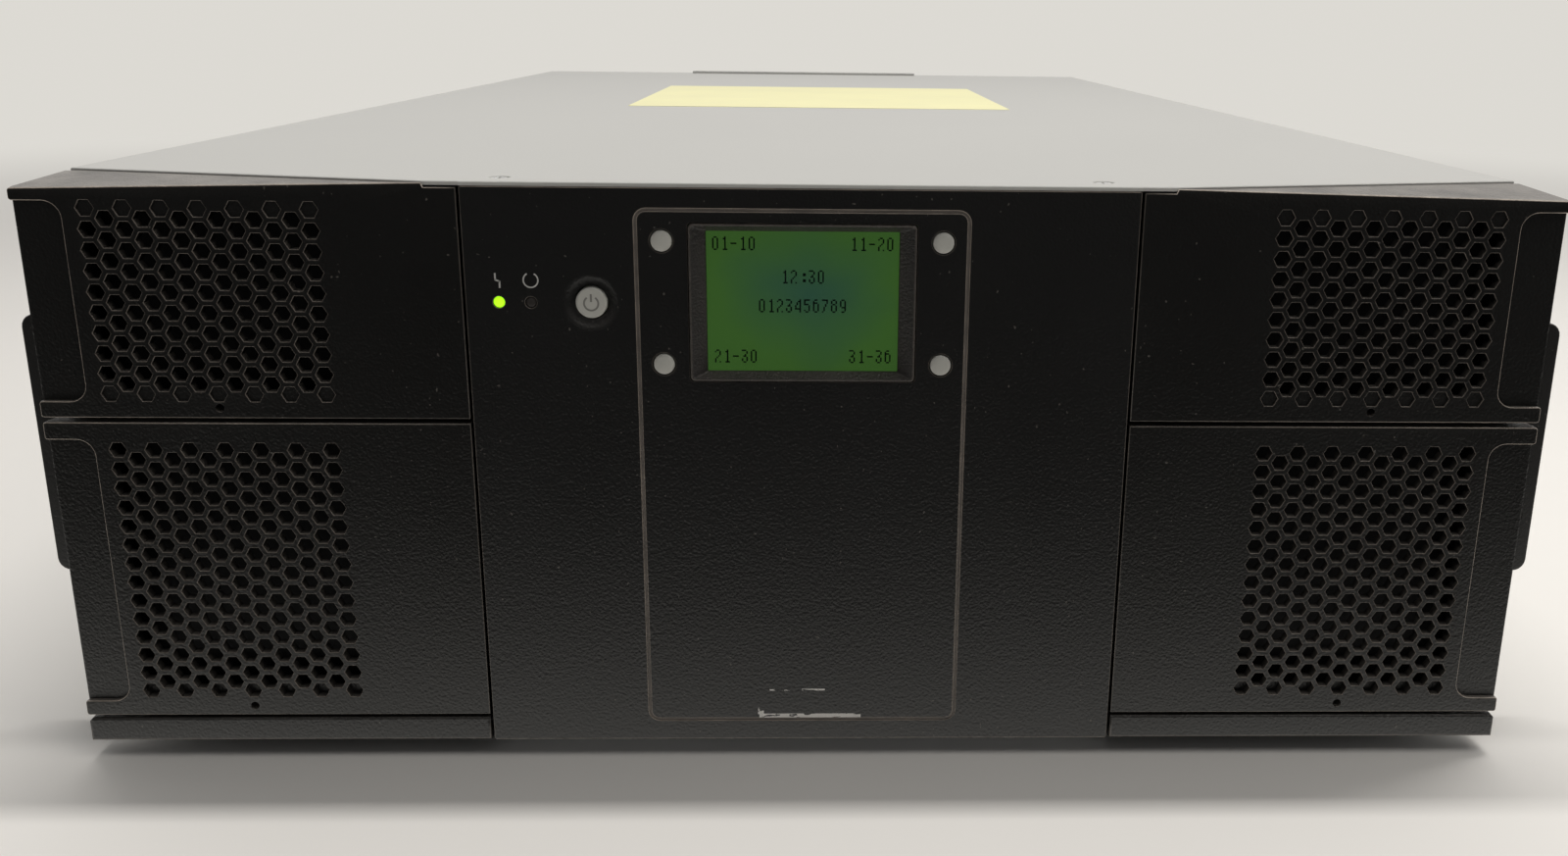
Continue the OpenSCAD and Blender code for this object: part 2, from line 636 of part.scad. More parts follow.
module tape_drive_1() tape_drive(0);
module tape_drive_2() tape_drive(1);
module tape_drive_3() tape_drive(2);
module tape_drive_4() tape_drive(3);

// Power supply: case, fan well, power inlet with its three pins, and a handle
module power_supply(level) color(zinc) seated() translate([psu_x + psu_w / 2, back_y, psu_levels[level]]) {
    difference() {
        union() {
            block([-psu_w / 2, -psu_len, 0.6], [psu_w / 2, 0, psu_h - 0.4]);
            block([-psu_w / 2 - 3, 0, 0], [psu_w / 2 + 4, 1.2, psu_h]);
        }
        translate([25, 0, psu_h / 2]) rod_y(-26, 3, fan_d / 2);
        translate([-36, 0, psu_h / 2 - 14]) upright(-15, 2) inlet_outline();
    }
    for (pin = [[-7, 0], [0, 3], [7, 0]]) translate([-36 + pin.x, 0, psu_h / 2 - 14 + pin.y])
        block([-1, -15.1, -2], [1, -2, 2]);
    translate([25, 0, psu_h / 2]) {
        rod_y(-26.1, -22.3, 7);
        for (r = [9, 18, 27]) upright(0.2, 1.2) difference() {
            circle(r);
            circle(r - 1.2);
        }
        for (a = [45, 135]) upright(0.2, 1.2) rotate(a) square([fan_d + 2, 2.4], center = true);
    }
    for (x = [-56, -16]) translate([x, 0, psu_h / 2 + 22]) rod_y(1, handle_reach, 3);
    translate([0, handle_reach - 3, psu_h / 2 + 22]) rod_x(-56, -16, 3);
}

module inlet_outline() polygon([[-12, -7.5], [12, -7.5], [12, 3], [7.5, 7.5], [-7.5, 7.5], [-12, 3]]);

module power_supply_1() power_supply(0);
module power_supply_2() power_supply(1);

// Seven flat blades set at a pitch round a hub
module psu_fan(level) color([0.12, 0.12, 0.12]) seated()
    translate([psu_x + psu_w / 2 + 25, back_y, psu_levels[level] + psu_h / 2]) {
        rod_y(-22, -4, 11);
        intersection() {
            rod_y(-22, -4, fan_d / 2 - 1.5);
            for (i = [0 : 6]) rotate([0, i * 360 / 7, 0]) translate([20, -13, 0]) rotate([38, 0, 0])
                cube([24, 1.4, 17], center = true);
        }
    }

module psu_fan_1() psu_fan(0);
module psu_fan_2() psu_fan(1);

// Controller: board on a tray, with its connector plate and thumbscrews
module controller_module() color(paint_grey) seated() translate([-wall_in + 0.8, back_y, 0]) {
    w = wall_in - bay_x - 1.6;
    difference() {
        union() {
            block([0, 0, 1.8], [w, 1.2, 85.4]);
            block([3, -250, 2.6], [w - 3, 0.1, 4.2]);
            block([8, -246, 8], [w - 8, 0.1, 9.6]);
            for (x = [20, 50, 78]) block([x, -16, 9], [x + 18, 0.1, 24]);
            block([48, -150, 9.5], [82, -116, 13]);
            for (z = [13 : 3 : 22]) block([50, -148, z - 0.1], [80, -118, z + 1.2]);
            block([64, -134, 9.5], [66, -132, 24]);
            for (y = [-210 : 14 : -182]) translate([24, y, 9.5]) cylinder(h = 14, r = 5);
            for (x = [8, w - 8]) translate([x, 0, 76]) rod_y(1, 12, 4.5);
        }
        for (x = [20, 50, 78]) block([x + 2, -2.6, 11], [x + 16, 2, 22]);
        translate([w / 2, 0, 48]) upright(-1, 2) hex_field(13, 5, 7, 6);
    }
}

base_pan();
side_wall_left();
side_wall_right();
top_cover();
cover_screws();
fascia_posts();
feet();
bulkheads();
magazine_guides();
drive_bay_walls();
bay_shelves();
vent_panel();
backplane();
centre_fascia();
display_frame();
display_window();
display_module();
front_board();
lamp_ready();
lamp_fault();
bottom_bar_left();
bottom_bar_right();
rack_ear_left();
rack_ear_right();
robot_rails();
travel_belt();
travel_motor();
motor_pulley();
idler_pulley();
soft_key_1();
soft_key_2();
soft_key_3();
soft_key_4();
power_button();
door_upper_left();
door_upper_right();
door_lower_left();
door_lower_right();
magazine_upper_left();
magazine_upper_right();
magazine_lower_left();
magazine_lower_right();
cartridges_upper_left();
cartridges_upper_right();
cartridges_lower_left();
cartridges_lower_right();
robot_base();
robot_masts();
robot_elevator();
robot_picker();
robot_gripper();
tape_drive_1();
tape_drive_2();
tape_drive_3();
tape_drive_4();
power_supply_1();
power_supply_2();
psu_fan_1();
psu_fan_2();
controller_module();
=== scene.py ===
import math
import bpy
import numpy as np
from mathutils import Matrix, Vector
from mathutils.geometry import delaunay_2d_cdt


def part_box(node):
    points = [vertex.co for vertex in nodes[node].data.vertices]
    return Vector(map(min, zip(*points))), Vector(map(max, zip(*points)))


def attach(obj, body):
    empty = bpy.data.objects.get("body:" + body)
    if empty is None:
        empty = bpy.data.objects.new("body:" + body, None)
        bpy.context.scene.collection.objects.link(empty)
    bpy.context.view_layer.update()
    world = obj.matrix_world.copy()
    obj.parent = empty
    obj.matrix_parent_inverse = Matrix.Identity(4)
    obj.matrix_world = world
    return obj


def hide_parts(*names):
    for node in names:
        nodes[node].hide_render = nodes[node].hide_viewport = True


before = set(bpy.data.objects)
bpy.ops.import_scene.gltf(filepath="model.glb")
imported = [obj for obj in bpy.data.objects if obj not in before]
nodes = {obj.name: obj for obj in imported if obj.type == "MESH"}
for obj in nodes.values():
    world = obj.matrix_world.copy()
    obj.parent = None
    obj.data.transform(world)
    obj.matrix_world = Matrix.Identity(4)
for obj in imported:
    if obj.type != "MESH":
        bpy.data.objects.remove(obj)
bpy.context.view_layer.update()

# ---- where the pieces go ----
# The library is measured in millimetres from the front lower edge of its steel chassis: X to the right,
# Y back from the front face, Z up. The cover's front edge and the floor pan's underside give that edge.
front_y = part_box("top_cover")[0][1]
chassis_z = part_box("base_pan")[0][2]
back_y = (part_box("side_wall_left")[1][1] - front_y) * 1000
top_z = (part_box("side_wall_left")[1][2] - chassis_z) * 1000
half_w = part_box("side_wall_right")[1][0] * 1000


def in_frame(points):
    """Millimetres from the chassis edge to metres in the shared frame: divided by 1000, then moved."""
    return np.asarray(points, float) / 1000 + np.array([0.0, front_y, chassis_z])


# ---- camera ----
# A phone camera held a little above the front face, 40 cm away, aimed slightly down.
# It stands almost on the centre line, so both sides of the deep chassis run together behind the front.
eye = Vector(in_frame([4.317, -401.558, 220.33]))
eye_yaw, eye_pitch, eye_roll = 0.032276, 0.280843, 0.012692
focal_px, centre_px = 1432.15, (878.31, 431.875)
aim = Vector((math.sin(eye_yaw) * math.cos(eye_pitch), math.cos(eye_yaw) * math.cos(eye_pitch),
              -math.sin(eye_pitch)))
level = Vector((math.cos(eye_yaw), -math.sin(eye_yaw), 0))
above = level.cross(aim)
right = level * math.cos(eye_roll) + above * math.sin(eye_roll)
up = above * math.cos(eye_roll) - level * math.sin(eye_roll)
camera = bpy.data.objects.new("camera", bpy.data.cameras.new("camera"))
bpy.context.scene.collection.objects.link(camera)
camera.matrix_world = Matrix.Translation(eye) @ Matrix((right, up, -aim)).transposed().to_4x4()
camera.data.sensor_width = 36
camera.data.lens = focal_px / 1600 * 36
camera.data.shift_x = (800 - centre_px[0]) / 1600
camera.data.shift_y = (centre_px[1] - 436.5) / 1600
camera.data.clip_start = 0.01
bpy.context.scene.camera = camera

# ---- inner steelwork ----
# Floor pan, bulkheads, bay walls, shelves, guides, posts and rails of the chassis.
# All are folded from zinc plated sheet, 1.2 mm thick, and riveted together; the plating shows faint spangles.


def add_node(tree, kind, links=(), **settings):
    """A shader node of a kind, with its settings; links are (its input, value or socket) pairs."""
    node = tree.nodes.new("ShaderNode" + kind)
    for key, value in settings.items():
        setattr(node, key, value)
    for key, value in links:
        if isinstance(value, bpy.types.NodeSocket):
            tree.links.new(value, node.inputs[key])
        else:
            node.inputs[key].default_value = value
    return node


def effect_group(name, inputs, outputs):
    """A shader node group; inputs are (name, default) pairs, a tuple default makes a colour socket."""
    tree = bpy.data.node_groups.new(name, "ShaderNodeTree")
    for label, value in inputs:
        kind = "NodeSocketColor" if isinstance(value, tuple) else "NodeSocketFloat"
        tree.interface.new_socket(label, in_out="INPUT", socket_type=kind).default_value = value
    for label, kind in outputs:
        tree.interface.new_socket(label, in_out="OUTPUT", socket_type="NodeSocket" + kind)
    return tree, tree.nodes.new("NodeGroupInput").outputs, tree.nodes.new("NodeGroupOutput").inputs


def mixed(tree, factor, first, second):
    """Colour between first and second by factor."""
    node = add_node(tree, "Mix", [(0, factor), (6, first), (7, second)], data_type="RGBA")
    return node.outputs[2]


def maths(tree, operation, first, second=0.0, clamp=False):
    """One Math node on two values or sockets."""
    return add_node(tree, "Math", [(0, first), (1, second)], operation=operation,
                    use_clamp=clamp).outputs[0]


def vector_maths(tree, operation, first, second):
    """One Vector Math node on two vectors or sockets."""
    return add_node(tree, "VectorMath", [(0, first), (1, second)], operation=operation).outputs[0]


def object_noise(tree, size, detail=3.0, stretch=(1, 1, 1)):
    """Noise on Object coordinates whose features are size millimetres across; stretch squeezes an axis."""
    place = add_node(tree, "TexCoord").outputs["Object"]
    place = vector_maths(tree, "MULTIPLY", place, stretch)
    scale = maths(tree, "DIVIDE", 1000.0, size)
    return add_node(tree, "TexNoise", [("Vector", place), ("Scale", scale), ("Detail", detail)])


# Shade: large soft differences of tone, as every real surface has
shade_group, given, put = effect_group(
    "shade", [("Colour", (0.5, 0.5, 0.5, 1)), ("Size", 60.0), ("Amount", 0.1), ("Roughness", 0.5)],
    [("Colour", "Color"), ("Roughness", "Float")])
cloud = object_noise(shade_group, given["Size"]).outputs[0]
swing = maths(shade_group, "MULTIPLY", maths(shade_group, "SUBTRACT", cloud, 0.5), given["Amount"])
gain = maths(shade_group, "ADD", maths(shade_group, "MULTIPLY", swing, 2.0), 1.0)
lit = add_node(shade_group, "VectorMath", [(0, given["Colour"]), ("Scale", gain)],
               operation="SCALE")
shade_group.links.new(lit.outputs[0], put["Colour"])
shade_group.links.new(maths(shade_group, "ADD", given["Roughness"], swing), put["Roughness"])

# Grain: the fine bumps of a moulded, painted or plated skin
grain_group, given, put = effect_group("grain", [("Size", 0.8), ("Depth", 0.5)], [("Height", "Float")])
place = add_node(grain_group, "TexCoord").outputs["Object"]
pebbles = add_node(grain_group, "TexVoronoi", [
    ("Vector", place), ("Scale", maths(grain_group, "DIVIDE", 1000.0, given["Size"]))], feature="F1")
fine = object_noise(grain_group, given["Size"], 2.0).outputs[0]
bump = maths(grain_group, "ADD", maths(grain_group, "MULTIPLY", pebbles.outputs["Distance"], -0.6), fine)
grain_group.links.new(maths(grain_group, "MULTIPLY", bump, given["Depth"]), put["Height"])

# Wear and painted highlight: edges painted paler from the rim attribute that every new piece carries. The
# pale edge stands for rubbed wear and, on the black mouldings, for painted highlights on their rounded edges.
wear_and_highlight_group, given, put = effect_group(
    "wear_and_highlight", [("Colour", (0.5, 0.5, 0.5, 1)), ("Pale edge", (0.7, 0.7, 0.7, 1)), ("Amount", 0.5)],
    [("Colour", "Color"), ("Mask", "Float")])
rim = add_node(wear_and_highlight_group, "Attribute", attribute_name="rim").outputs["Fac"]
broken = maths(wear_and_highlight_group, "ADD", object_noise(wear_and_highlight_group, 6.0, 4.0).outputs[0], 0.15)
mask = maths(wear_and_highlight_group, "MULTIPLY", rim, broken)
mask = maths(wear_and_highlight_group, "MULTIPLY", mask, given["Amount"], clamp=True)
wear_and_highlight_group.links.new(mixed(wear_and_highlight_group, mask, given["Colour"], given["Pale edge"]), put["Colour"])
wear_and_highlight_group.links.new(mask, put["Mask"])

# Dust and painted sheen: specks and a thin pale film, thickest on what faces up. On the black mouldings the
# film is a painted sheen, with some dust: upward faces, such as the doors' sloping tops, are painted paler as
# if they caught more light.
dust_and_sheen_group, given, put = effect_group(
    "dust_and_sheen",
    [("Colour", (0.5, 0.5, 0.5, 1)), ("Dust and sheen", (0.5, 0.48, 0.45, 1)), ("Film and sheen", 0.1), ("Specks", 0.1)],
    [("Colour", "Color")])
upward = add_node(dust_and_sheen_group, "SeparateXYZ",
                  [(0, add_node(dust_and_sheen_group, "TexCoord").outputs["Normal"])]).outputs["Z"]
film_and_sheen = maths(dust_and_sheen_group, "MULTIPLY", maths(dust_and_sheen_group, "MULTIPLY", upward, given["Film and sheen"], clamp=True),
             object_noise(dust_and_sheen_group, 14.0, 5.0).outputs[0])
speck = maths(dust_and_sheen_group, "GREATER_THAN", object_noise(dust_and_sheen_group, 1.1, 0.0).outputs[0], 0.86)
speck = maths(dust_and_sheen_group, "MULTIPLY", speck, given["Specks"])
dust_and_sheen_group.links.new(mixed(dust_and_sheen_group, maths(dust_and_sheen_group, "ADD", film_and_sheen, speck, clamp=True),
                           given["Colour"], given["Dust and sheen"]), put["Colour"])


def finish_of(name, colour, roughness, metallic=0.0, shade=(60, 0.1), grain=None, wear_and_highlight=None, dust_and_sheen=None,
              **sockets):
    """A Principled material: shade, then wear and painted highlight, then dust and painted sheen change its
    colour, and grain is its bump.

    shade is (size mm, amount), grain (size mm, depth mm), wear and highlight (pale edge colour, amount) and
    dust and sheen (colour, film, specks); the pale edges are partly painted highlight and the film on upward
    faces partly painted sheen. Further sockets of the shader go by name, with _ for a space.
    """
    material = bpy.data.materials.new(name)
    material.use_nodes = True
    tree = material.node_tree
    shader = tree.nodes["Principled BSDF"]
    shader.inputs["Metallic"].default_value = metallic
    for key, value in sockets.items():
        shader.inputs[key.replace("_", " ")].default_value = value
    tone = add_node(tree, "Group", [
        ("Colour", (*colour, 1)), ("Size", shade[0]), ("Amount", shade[1]), ("Roughness", roughness)],
        node_tree=shade_group)
    result = tone.outputs["Colour"]
    if wear_and_highlight:
        result = add_node(tree, "Group", [
            ("Colour", result), ("Pale edge", (*wear_and_highlight[0], 1)), ("Amount", wear_and_highlight[1])],
            node_tree=wear_and_highlight_group).outputs["Colour"]
    if dust_and_sheen:
        result = add_node(tree, "Group", [
            ("Colour", result), ("Dust and sheen", (*dust_and_sheen[0], 1)), ("Film and sheen", dust_and_sheen[1]), ("Specks", dust_and_sheen[2])],
            node_tree=dust_and_sheen_group).outputs["Colour"]
    tree.links.new(result, shader.inputs["Base Color"])
    tree.links.new(tone.outputs["Roughness"], shader.inputs["Roughness"])
    if grain:
        skin = add_node(tree, "Group", [("Size", grain[0]), ("Depth", 1.0)], node_tree=grain_group)
        lifted = add_node(tree, "Bump", [("Height", skin.outputs["Height"]),
                                                   ("Distance", grain[1] / 1000)])
        tree.links.new(lifted.outputs["Normal"], shader.inputs["Normal"])
    return material


def dress(material, *names):
    """Gives CAD nodes that stay as they are their material."""
    for name in names:
        nodes[name].data.materials.clear()
        nodes[name].data.materials.append(material)


zinc_steel = finish_of("zinc plated steel", (0.46, 0.47, 0.49), 0.38, 1.0, (9, 0.16), (1.5, 0.02),
                       dust_and_sheen=((0.35, 0.34, 0.32), 0.25, 0.1))
dress(zinc_steel, "base_pan", "bulkheads", "magazine_guides", "drive_bay_walls", "bay_shelves",
      "fascia_posts", "robot_rails")

# ---- painted sheet: side walls and vent panel ----
# Steel sheet folded at the top, powder coated in a warm light grey with a slight orange peel.
# Rows of round holes near the back let the drives breathe.
paint_grey = finish_of("powder coat grey", (0.405, 0.405, 0.388), 0.42, 0.0, (90, 0.05), (1.0, 0.035),
                       wear_and_highlight=((0.72, 0.72, 0.70), 0.35), dust_and_sheen=((0.42, 0.41, 0.39), 0.10, 0.25))
dress(paint_grey, "side_wall_left", "side_wall_right", "vent_panel")

# ---- top cover ----
# One flat sheet, 1.2 mm thick, that closes the chassis; its front corners are cut back beside the doors.
# Two countersunk holes hold it to the fascia posts, and a raised lip at the back locates it.


def turned_edges(loop):
    """Mitre vectors of a closed loop: the sum of the two sides' left normals over one plus their dot."""
    forward = np.roll(loop, -1, axis=0) - loop
    forward /= np.linalg.norm(forward, axis=1, keepdims=True)
    left = np.stack([-forward[:, 1], forward[:, 0]], axis=1)
    before = np.roll(left, 1, axis=0)
    return (left + before) / (1 + np.sum(left * before, axis=1, keepdims=True))


def ring_quads(rings, count):
    """Quads between rings of count points each, wrapped round, facing away from the left of the travel."""
    start = np.arange(rings - 1)[:, None] * count
    here = np.arange(count)[None, :]
    there = (here + 1) % count
    quads = np.stack([start + here, start + count + here, start + count + there, start + there], -1)
    return quads.reshape(-1, 4)


def filled(loops):
    """Triangles between loops: Delaunay with the loops' sides kept; parity leaves the holes out."""
    flat = np.concatenate(loops)
    ends = np.cumsum([len(loop) for loop in loops])
    sides = np.concatenate([np.stack([np.arange(e - len(p), e), np.roll(np.arange(e - len(p), e), -1)], 1)
                            for e, p in zip(ends, loops)])
    made = delaunay_2d_cdt([Vector(p) for p in flat], sides.tolist(), [], 0, 1e-7)
    source = np.array([group[0] if group else 0 for group in made[3]])
    faces = source[np.array(made[2])]
    middle = flat[faces].mean(axis=1)
    a, b = flat[sides[:, 0]], flat[sides[:, 1]]
    spans = (a[None, :, 1] > middle[:, None, 1]) != (b[None, :, 1] > middle[:, None, 1])
    rise = np.where(b[:, 1] == a[:, 1], 1.0, b[:, 1] - a[:, 1])
    cross = a[None, :, 0] + (middle[:, None, 1] - a[None, :, 1]) / rise * (b[:, 0] - a[:, 0])[None, :]
    inside = np.sum(spans & (cross > middle[:, None, 0]), axis=1) % 2 == 1
    faces = faces[inside]
    u, v = flat[faces[:, 1]] - flat[faces[:, 0]], flat[faces[:, 2]] - flat[faces[:, 0]]
    turn = u[:, 0] * v[:, 1] - u[:, 1] * v[:, 0]
    faces[turn < 0] = faces[turn < 0][:, ::-1]
    return faces


def plate(loops, near, far, rounding=0.4, steps=2, back_rounding=0.0):
    """A sheet seen from its near side. The first loop runs anticlockwise, the holes clockwise.

    Each edge is a quarter circle: at angle a the loop is moved into the sheet by r(1 - sin a) and lies
    r(1 - cos a) deep. The two faces are filled between the innermost rings. rounding may be one value per
    loop. Returns points (u, v, depth), quads, triangles and the rim value of each point, which grows with the
    radius: it sets how pale the edge is painted, as wear and painted highlight, and larger edges get more of
    both.
    """
    radii = rounding if np.ndim(rounding) else [rounding] * len(loops)
    angle = np.linspace(0, np.pi / 2, steps + 1)
    points, quads, rim, first, last, offset = [], [], [], [], [], 0
    for loop, r in zip(loops, radii):
        mitre = turned_edges(loop)
        inset = r * (1 - np.sin(angle))
        depth = near + r * (1 - np.cos(angle))
        # Rim value of each ring: how pale the edge is painted, as wear and painted highlight; the last
        # rounded ring gets less.
        rub_and_highlight = np.where(angle > 0, np.clip(4 * r - 0.4, 0, 1), 0.0)
        rub_and_highlight[-1] *= 0.4
        b = back_rounding if np.ndim(back_rounding) == 0 else 0.0
        inset = np.concatenate([inset, b * (1 - np.sin(angle[::-1])) if b else [0.0]])
        depth = np.concatenate([depth, far - b * (1 - np.cos(angle[::-1])) if b else [far]])
        rub_and_highlight = np.concatenate([rub_and_highlight, rub_and_highlight[::-1] if b else [0.0]])
        if far - near > 3 * (r + b) and r > 0:
            cut = steps + 1
            inset = np.insert(inset, cut, [0.0] * (2 if b else 1))
            depth = np.insert(depth, cut, [near + 1.4 * r, far - 1.4 * b] if b else [near + 1.4 * r])
            rub_and_highlight = np.insert(rub_and_highlight, cut, [0.0] * (2 if b else 1))
        rings = loop[None] + mitre[None] * inset[:, None, None]
        levels = np.broadcast_to(depth[:, None, None], rings.shape[:2] + (1,))
        ring = np.concatenate([rings, levels], axis=2)
        points.append(ring.reshape(-1, 3))
        rim.append(np.repeat(rub_and_highlight, len(loop)))
        quads.append(ring_quads(len(inset), len(loop)) + offset)
        first.append(offset + np.arange(len(loop)))
        last.append(offset + (len(inset) - 1) * len(loop) + np.arange(len(loop)))
        offset += len(inset) * len(loop)
    points = np.concatenate(points)
    first, last = np.concatenate(first), np.concatenate(last)
    counts = np.cumsum([0] + [len(loop) for loop in loops])
    faces = filled([points[first[a:b], :2] for a, b in zip(counts[:-1], counts[1:])])
    triangles = np.concatenate([first[faces], last[faces][:, ::-1]])
    return points, np.concatenate(quads), triangles, np.concatenate(rim)


def facing(shape, side):
    """Turns (u, v, depth) to X, Y, Z, so that the sheet's near side looks to the side named."""
    u, v, w = shape[0].T
    axes = {"front": (u, w, v), "back": (-u, -w, v), "top": (u, v, -w), "bottom": (-u, v, w),
            "right": (-w, u, v), "left": (w, -u, v)}
    return (np.stack(axes[side], axis=1),) + tuple(shape[1:])


def moved(shape, x=0.0, y=0.0, z=0.0):
    """The shape shifted by x, y and z."""
    return (shape[0] + np.array([x, y, z]),) + tuple(shape[1:])


def mirrored(shape):
    """The shape on the other side of the centre line, its faces turned round so that they face out."""
    return (shape[0] * np.array([-1, 1, 1]), shape[1][:, ::-1], shape[2][:, ::-1], shape[3])


def joined(*shapes):
    """Several shapes as one."""
    offset = np.cumsum([0] + [len(s[0]) for s in shapes[:-1]])
    return (np.concatenate([s[0] for s in shapes]),
            np.concatenate([s[1].reshape(-1, 4) + o for s, o in zip(shapes, offset)]),
            np.concatenate([s[2].reshape(-1, 3) + o for s, o in zip(shapes, offset)]),
            np.concatenate([s[3] for s in shapes]))


def piece(name, shape, material, body, stands_for=(), smooth=True):
    """The mesh of a shape in chassis millimetres, shaded by weighted normals and tied to its body."""
    points, quads, triangles, rub_and_highlight = shape
    mesh = bpy.data.meshes.new(name)
    mesh.from_pydata(in_frame(points).tolist(), [], quads.tolist() + triangles.tolist())
    mesh.attributes.new("rim", "FLOAT", "POINT").data.foreach_set("value", rub_and_highlight.astype(np.float32))
    mesh.materials.append(material)
    made = bpy.data.objects.new(name, mesh)
    bpy.context.scene.collection.objects.link(made)
    if smooth:
        mesh.polygons.foreach_set("use_smooth", np.ones(len(mesh.polygons), bool))
        mesh.set_sharp_from_angle(angle=math.radians(50))
        made.modifiers.new("shading", "WEIGHTED_NORMAL").keep_sharp = True
    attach(made, body)
    if stands_for:
        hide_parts(*stands_for)
    return made


def circle(r, count=24, x=0.0, y=0.0, hole=True):
    """Points round a circle, clockwise for a hole."""
    turn = np.linspace(0, 2 * np.pi, count, endpoint=False) * (-1 if hole else 1)
    return np.stack([x + r * np.cos(turn), y + r * np.sin(turn)], axis=1)


def rounded(x0, y0, x1, y1, r, hole=False, corner=6):
    """A rectangle with quarter circles of radius r at its corners, anticlockwise, or clockwise for a hole."""
    turn = np.linspace(0, np.pi / 2, corner)
    if r == 0:
        loop = np.array([[x0, y0], [x1, y0], [x1, y1], [x0, y1]], float)
    else:
        centres = [(x1 - r, y1 - r), (x0 + r, y1 - r), (x0 + r, y0 + r), (x1 - r, y0 + r)]
        loop = np.concatenate([np.stack([cx + r * np.cos(turn + quarter), cy + r * np.sin(turn + quarter)], 1)
                               for quarter, (cx, cy) in zip(np.arange(4) * np.pi / 2, centres)])
    return loop[::-1] if hole else loop


cover_top = top_z + 1.2
slope_from, slope_run, slope_fall = 107.0, 0.234, 0.092
plan_half = np.array([[97.2, 0.0], [97.6, 0.4], [slope_from, 0.4],
                      [half_w, 0.4 + slope_run * (half_w - slope_from)], [half_w, back_y]])
plan = np.concatenate([plan_half, plan_half[::-1] * np.array([-1, 1])])
screw_at = [(-88.0, 11.5), (88.0, 11.5)]
cover = plate([plan] + [circle(3.1, 20, x, y) for x, y in screw_at], -cover_top, -top_z, [0.45, 0.5, 0.5])
lip = plate([rounded(-100, back_y - 9, 84, back_y - 0.2, 1.0)], -cover_top - 1.75, -cover_top + 0.3, 0.6)
piece("cover_sheet", joined(facing(cover, "top"), facing(lip, "top")), paint_grey, "chassis",
      ["top_cover"])

# ---- shipping label on the cover ----
# A blank sheet of pale yellow label stock stuck across the middle of the cover.
label_paper = finish_of("label paper", (0.80, 0.77, 0.42), 0.55, 0.0, (40, 0.06), (0.5, 0.01),
                        dust_and_sheen=((0.6, 0.58, 0.5), 0.15, 0.2))
label = plate([rounded(-95, 351, 105, 574, 2.0)], -cover_top - 0.18, -cover_top + 0.1, 0.05, 1)
piece("cover_label", facing(label, "top"), label_paper, "chassis")

# ---- cover screws ----
# Two countersunk M3 screws, zinc plated, with a cross recess; they sink just below the cover's face.


def revolved(profile, count=24):
    """A profile of (radius, depth) points, from the near side back, turned about the depth axis.

    Row i, column j is (r cos t, r sin t, depth) with t = 2 pi j / count; a radius of zero closes it with a
    point.
    """
    profile = np.asarray(profile, float)
    turn = np.linspace(0, 2 * np.pi, count, endpoint=False)
    inner = profile[1:-1] if profile[0, 0] == 0 and profile[-1, 0] == 0 else (
        profile[1:] if profile[0, 0] == 0 else (profile[:-1] if profile[-1, 0] == 0 else profile))
    rings = np.stack([inner[:, None, 0] * np.cos(turn), inner[:, None, 0] * np.sin(turn),
                      np.broadcast_to(inner[:, None, 1], (len(inner), count))], axis=2).reshape(-1, 3)
    quads = ring_quads(len(inner), count)
    here, there = np.arange(count), (np.arange(count) + 1) % count
    points, fans = [rings], []
    if profile[0, 0] == 0:
        points.append([[0, 0, profile[0, 1]]])
        fans.append(np.stack([np.full(count, len(rings)), here, there], axis=1))
    if profile[-1, 0] == 0:
        tip = len(rings) + len(fans)
        points.append([[0, 0, profile[-1, 1]]])
        end = (len(inner) - 1) * count
        fans.append(np.stack([np.full(count, tip), end + there, end + here], axis=1))
    points = np.concatenate(points)
    triangles = np.concatenate(fans) if fans else np.zeros((0, 3), int)
    return points, quads, triangles, np.zeros(len(points))


def recessed_head(r, depth, slot_w, slot_d):
    """A screw head seen from its near side: a disc with a rounded rim and a cross recess slot_d deep."""
    a, b = r * 0.58, slot_w / 2
    cross = np.array([[b, b], [b, a], [-b, a], [-b, b], [-a, b], [-a, -b], [-b, -b], [-b, -a],
                      [b, -a], [b, -b], [a, -b], [a, b]])
    face = plate([circle(r, 24, hole=False), cross[::-1]], 0, depth, [r * 0.18, 0.05])
    floor = plate([circle(r * 0.7, 12, hole=False)], slot_d, depth, 0)
    return joined(face, floor)


screws = joined(*[moved(facing(recessed_head(2.8, 1.0, 0.7, 0.7), "top"), x, y, cover_top - 0.25)
                  for x, y in screw_at])
shank = facing(revolved([(0, 0), (1.45, 0), (1.45, 4.4), (0, 4.4)], 12), "top")
shanks = joined(*[moved(shank, x, y, top_z) for x, y in screw_at])
screw_zinc = finish_of("bright zinc", (0.62, 0.62, 0.62), 0.28, 1.0, (2, 0.08), (0.4, 0.01))
piece("cover_screw_heads", joined(screws, shanks), screw_zinc, "chassis", ["cover_screws"])

# ---- feet ----
# Four moulded rubber feet pressed into the floor pan.
foot_rubber = finish_of("foot rubber", (0.02, 0.02, 0.02), 0.8, 0.0, (10, 0.05), (0.6, 0.03),
                        dust_and_sheen=((0.3, 0.29, 0.27), 0.0, 0.4))
dress(foot_rubber, "feet")

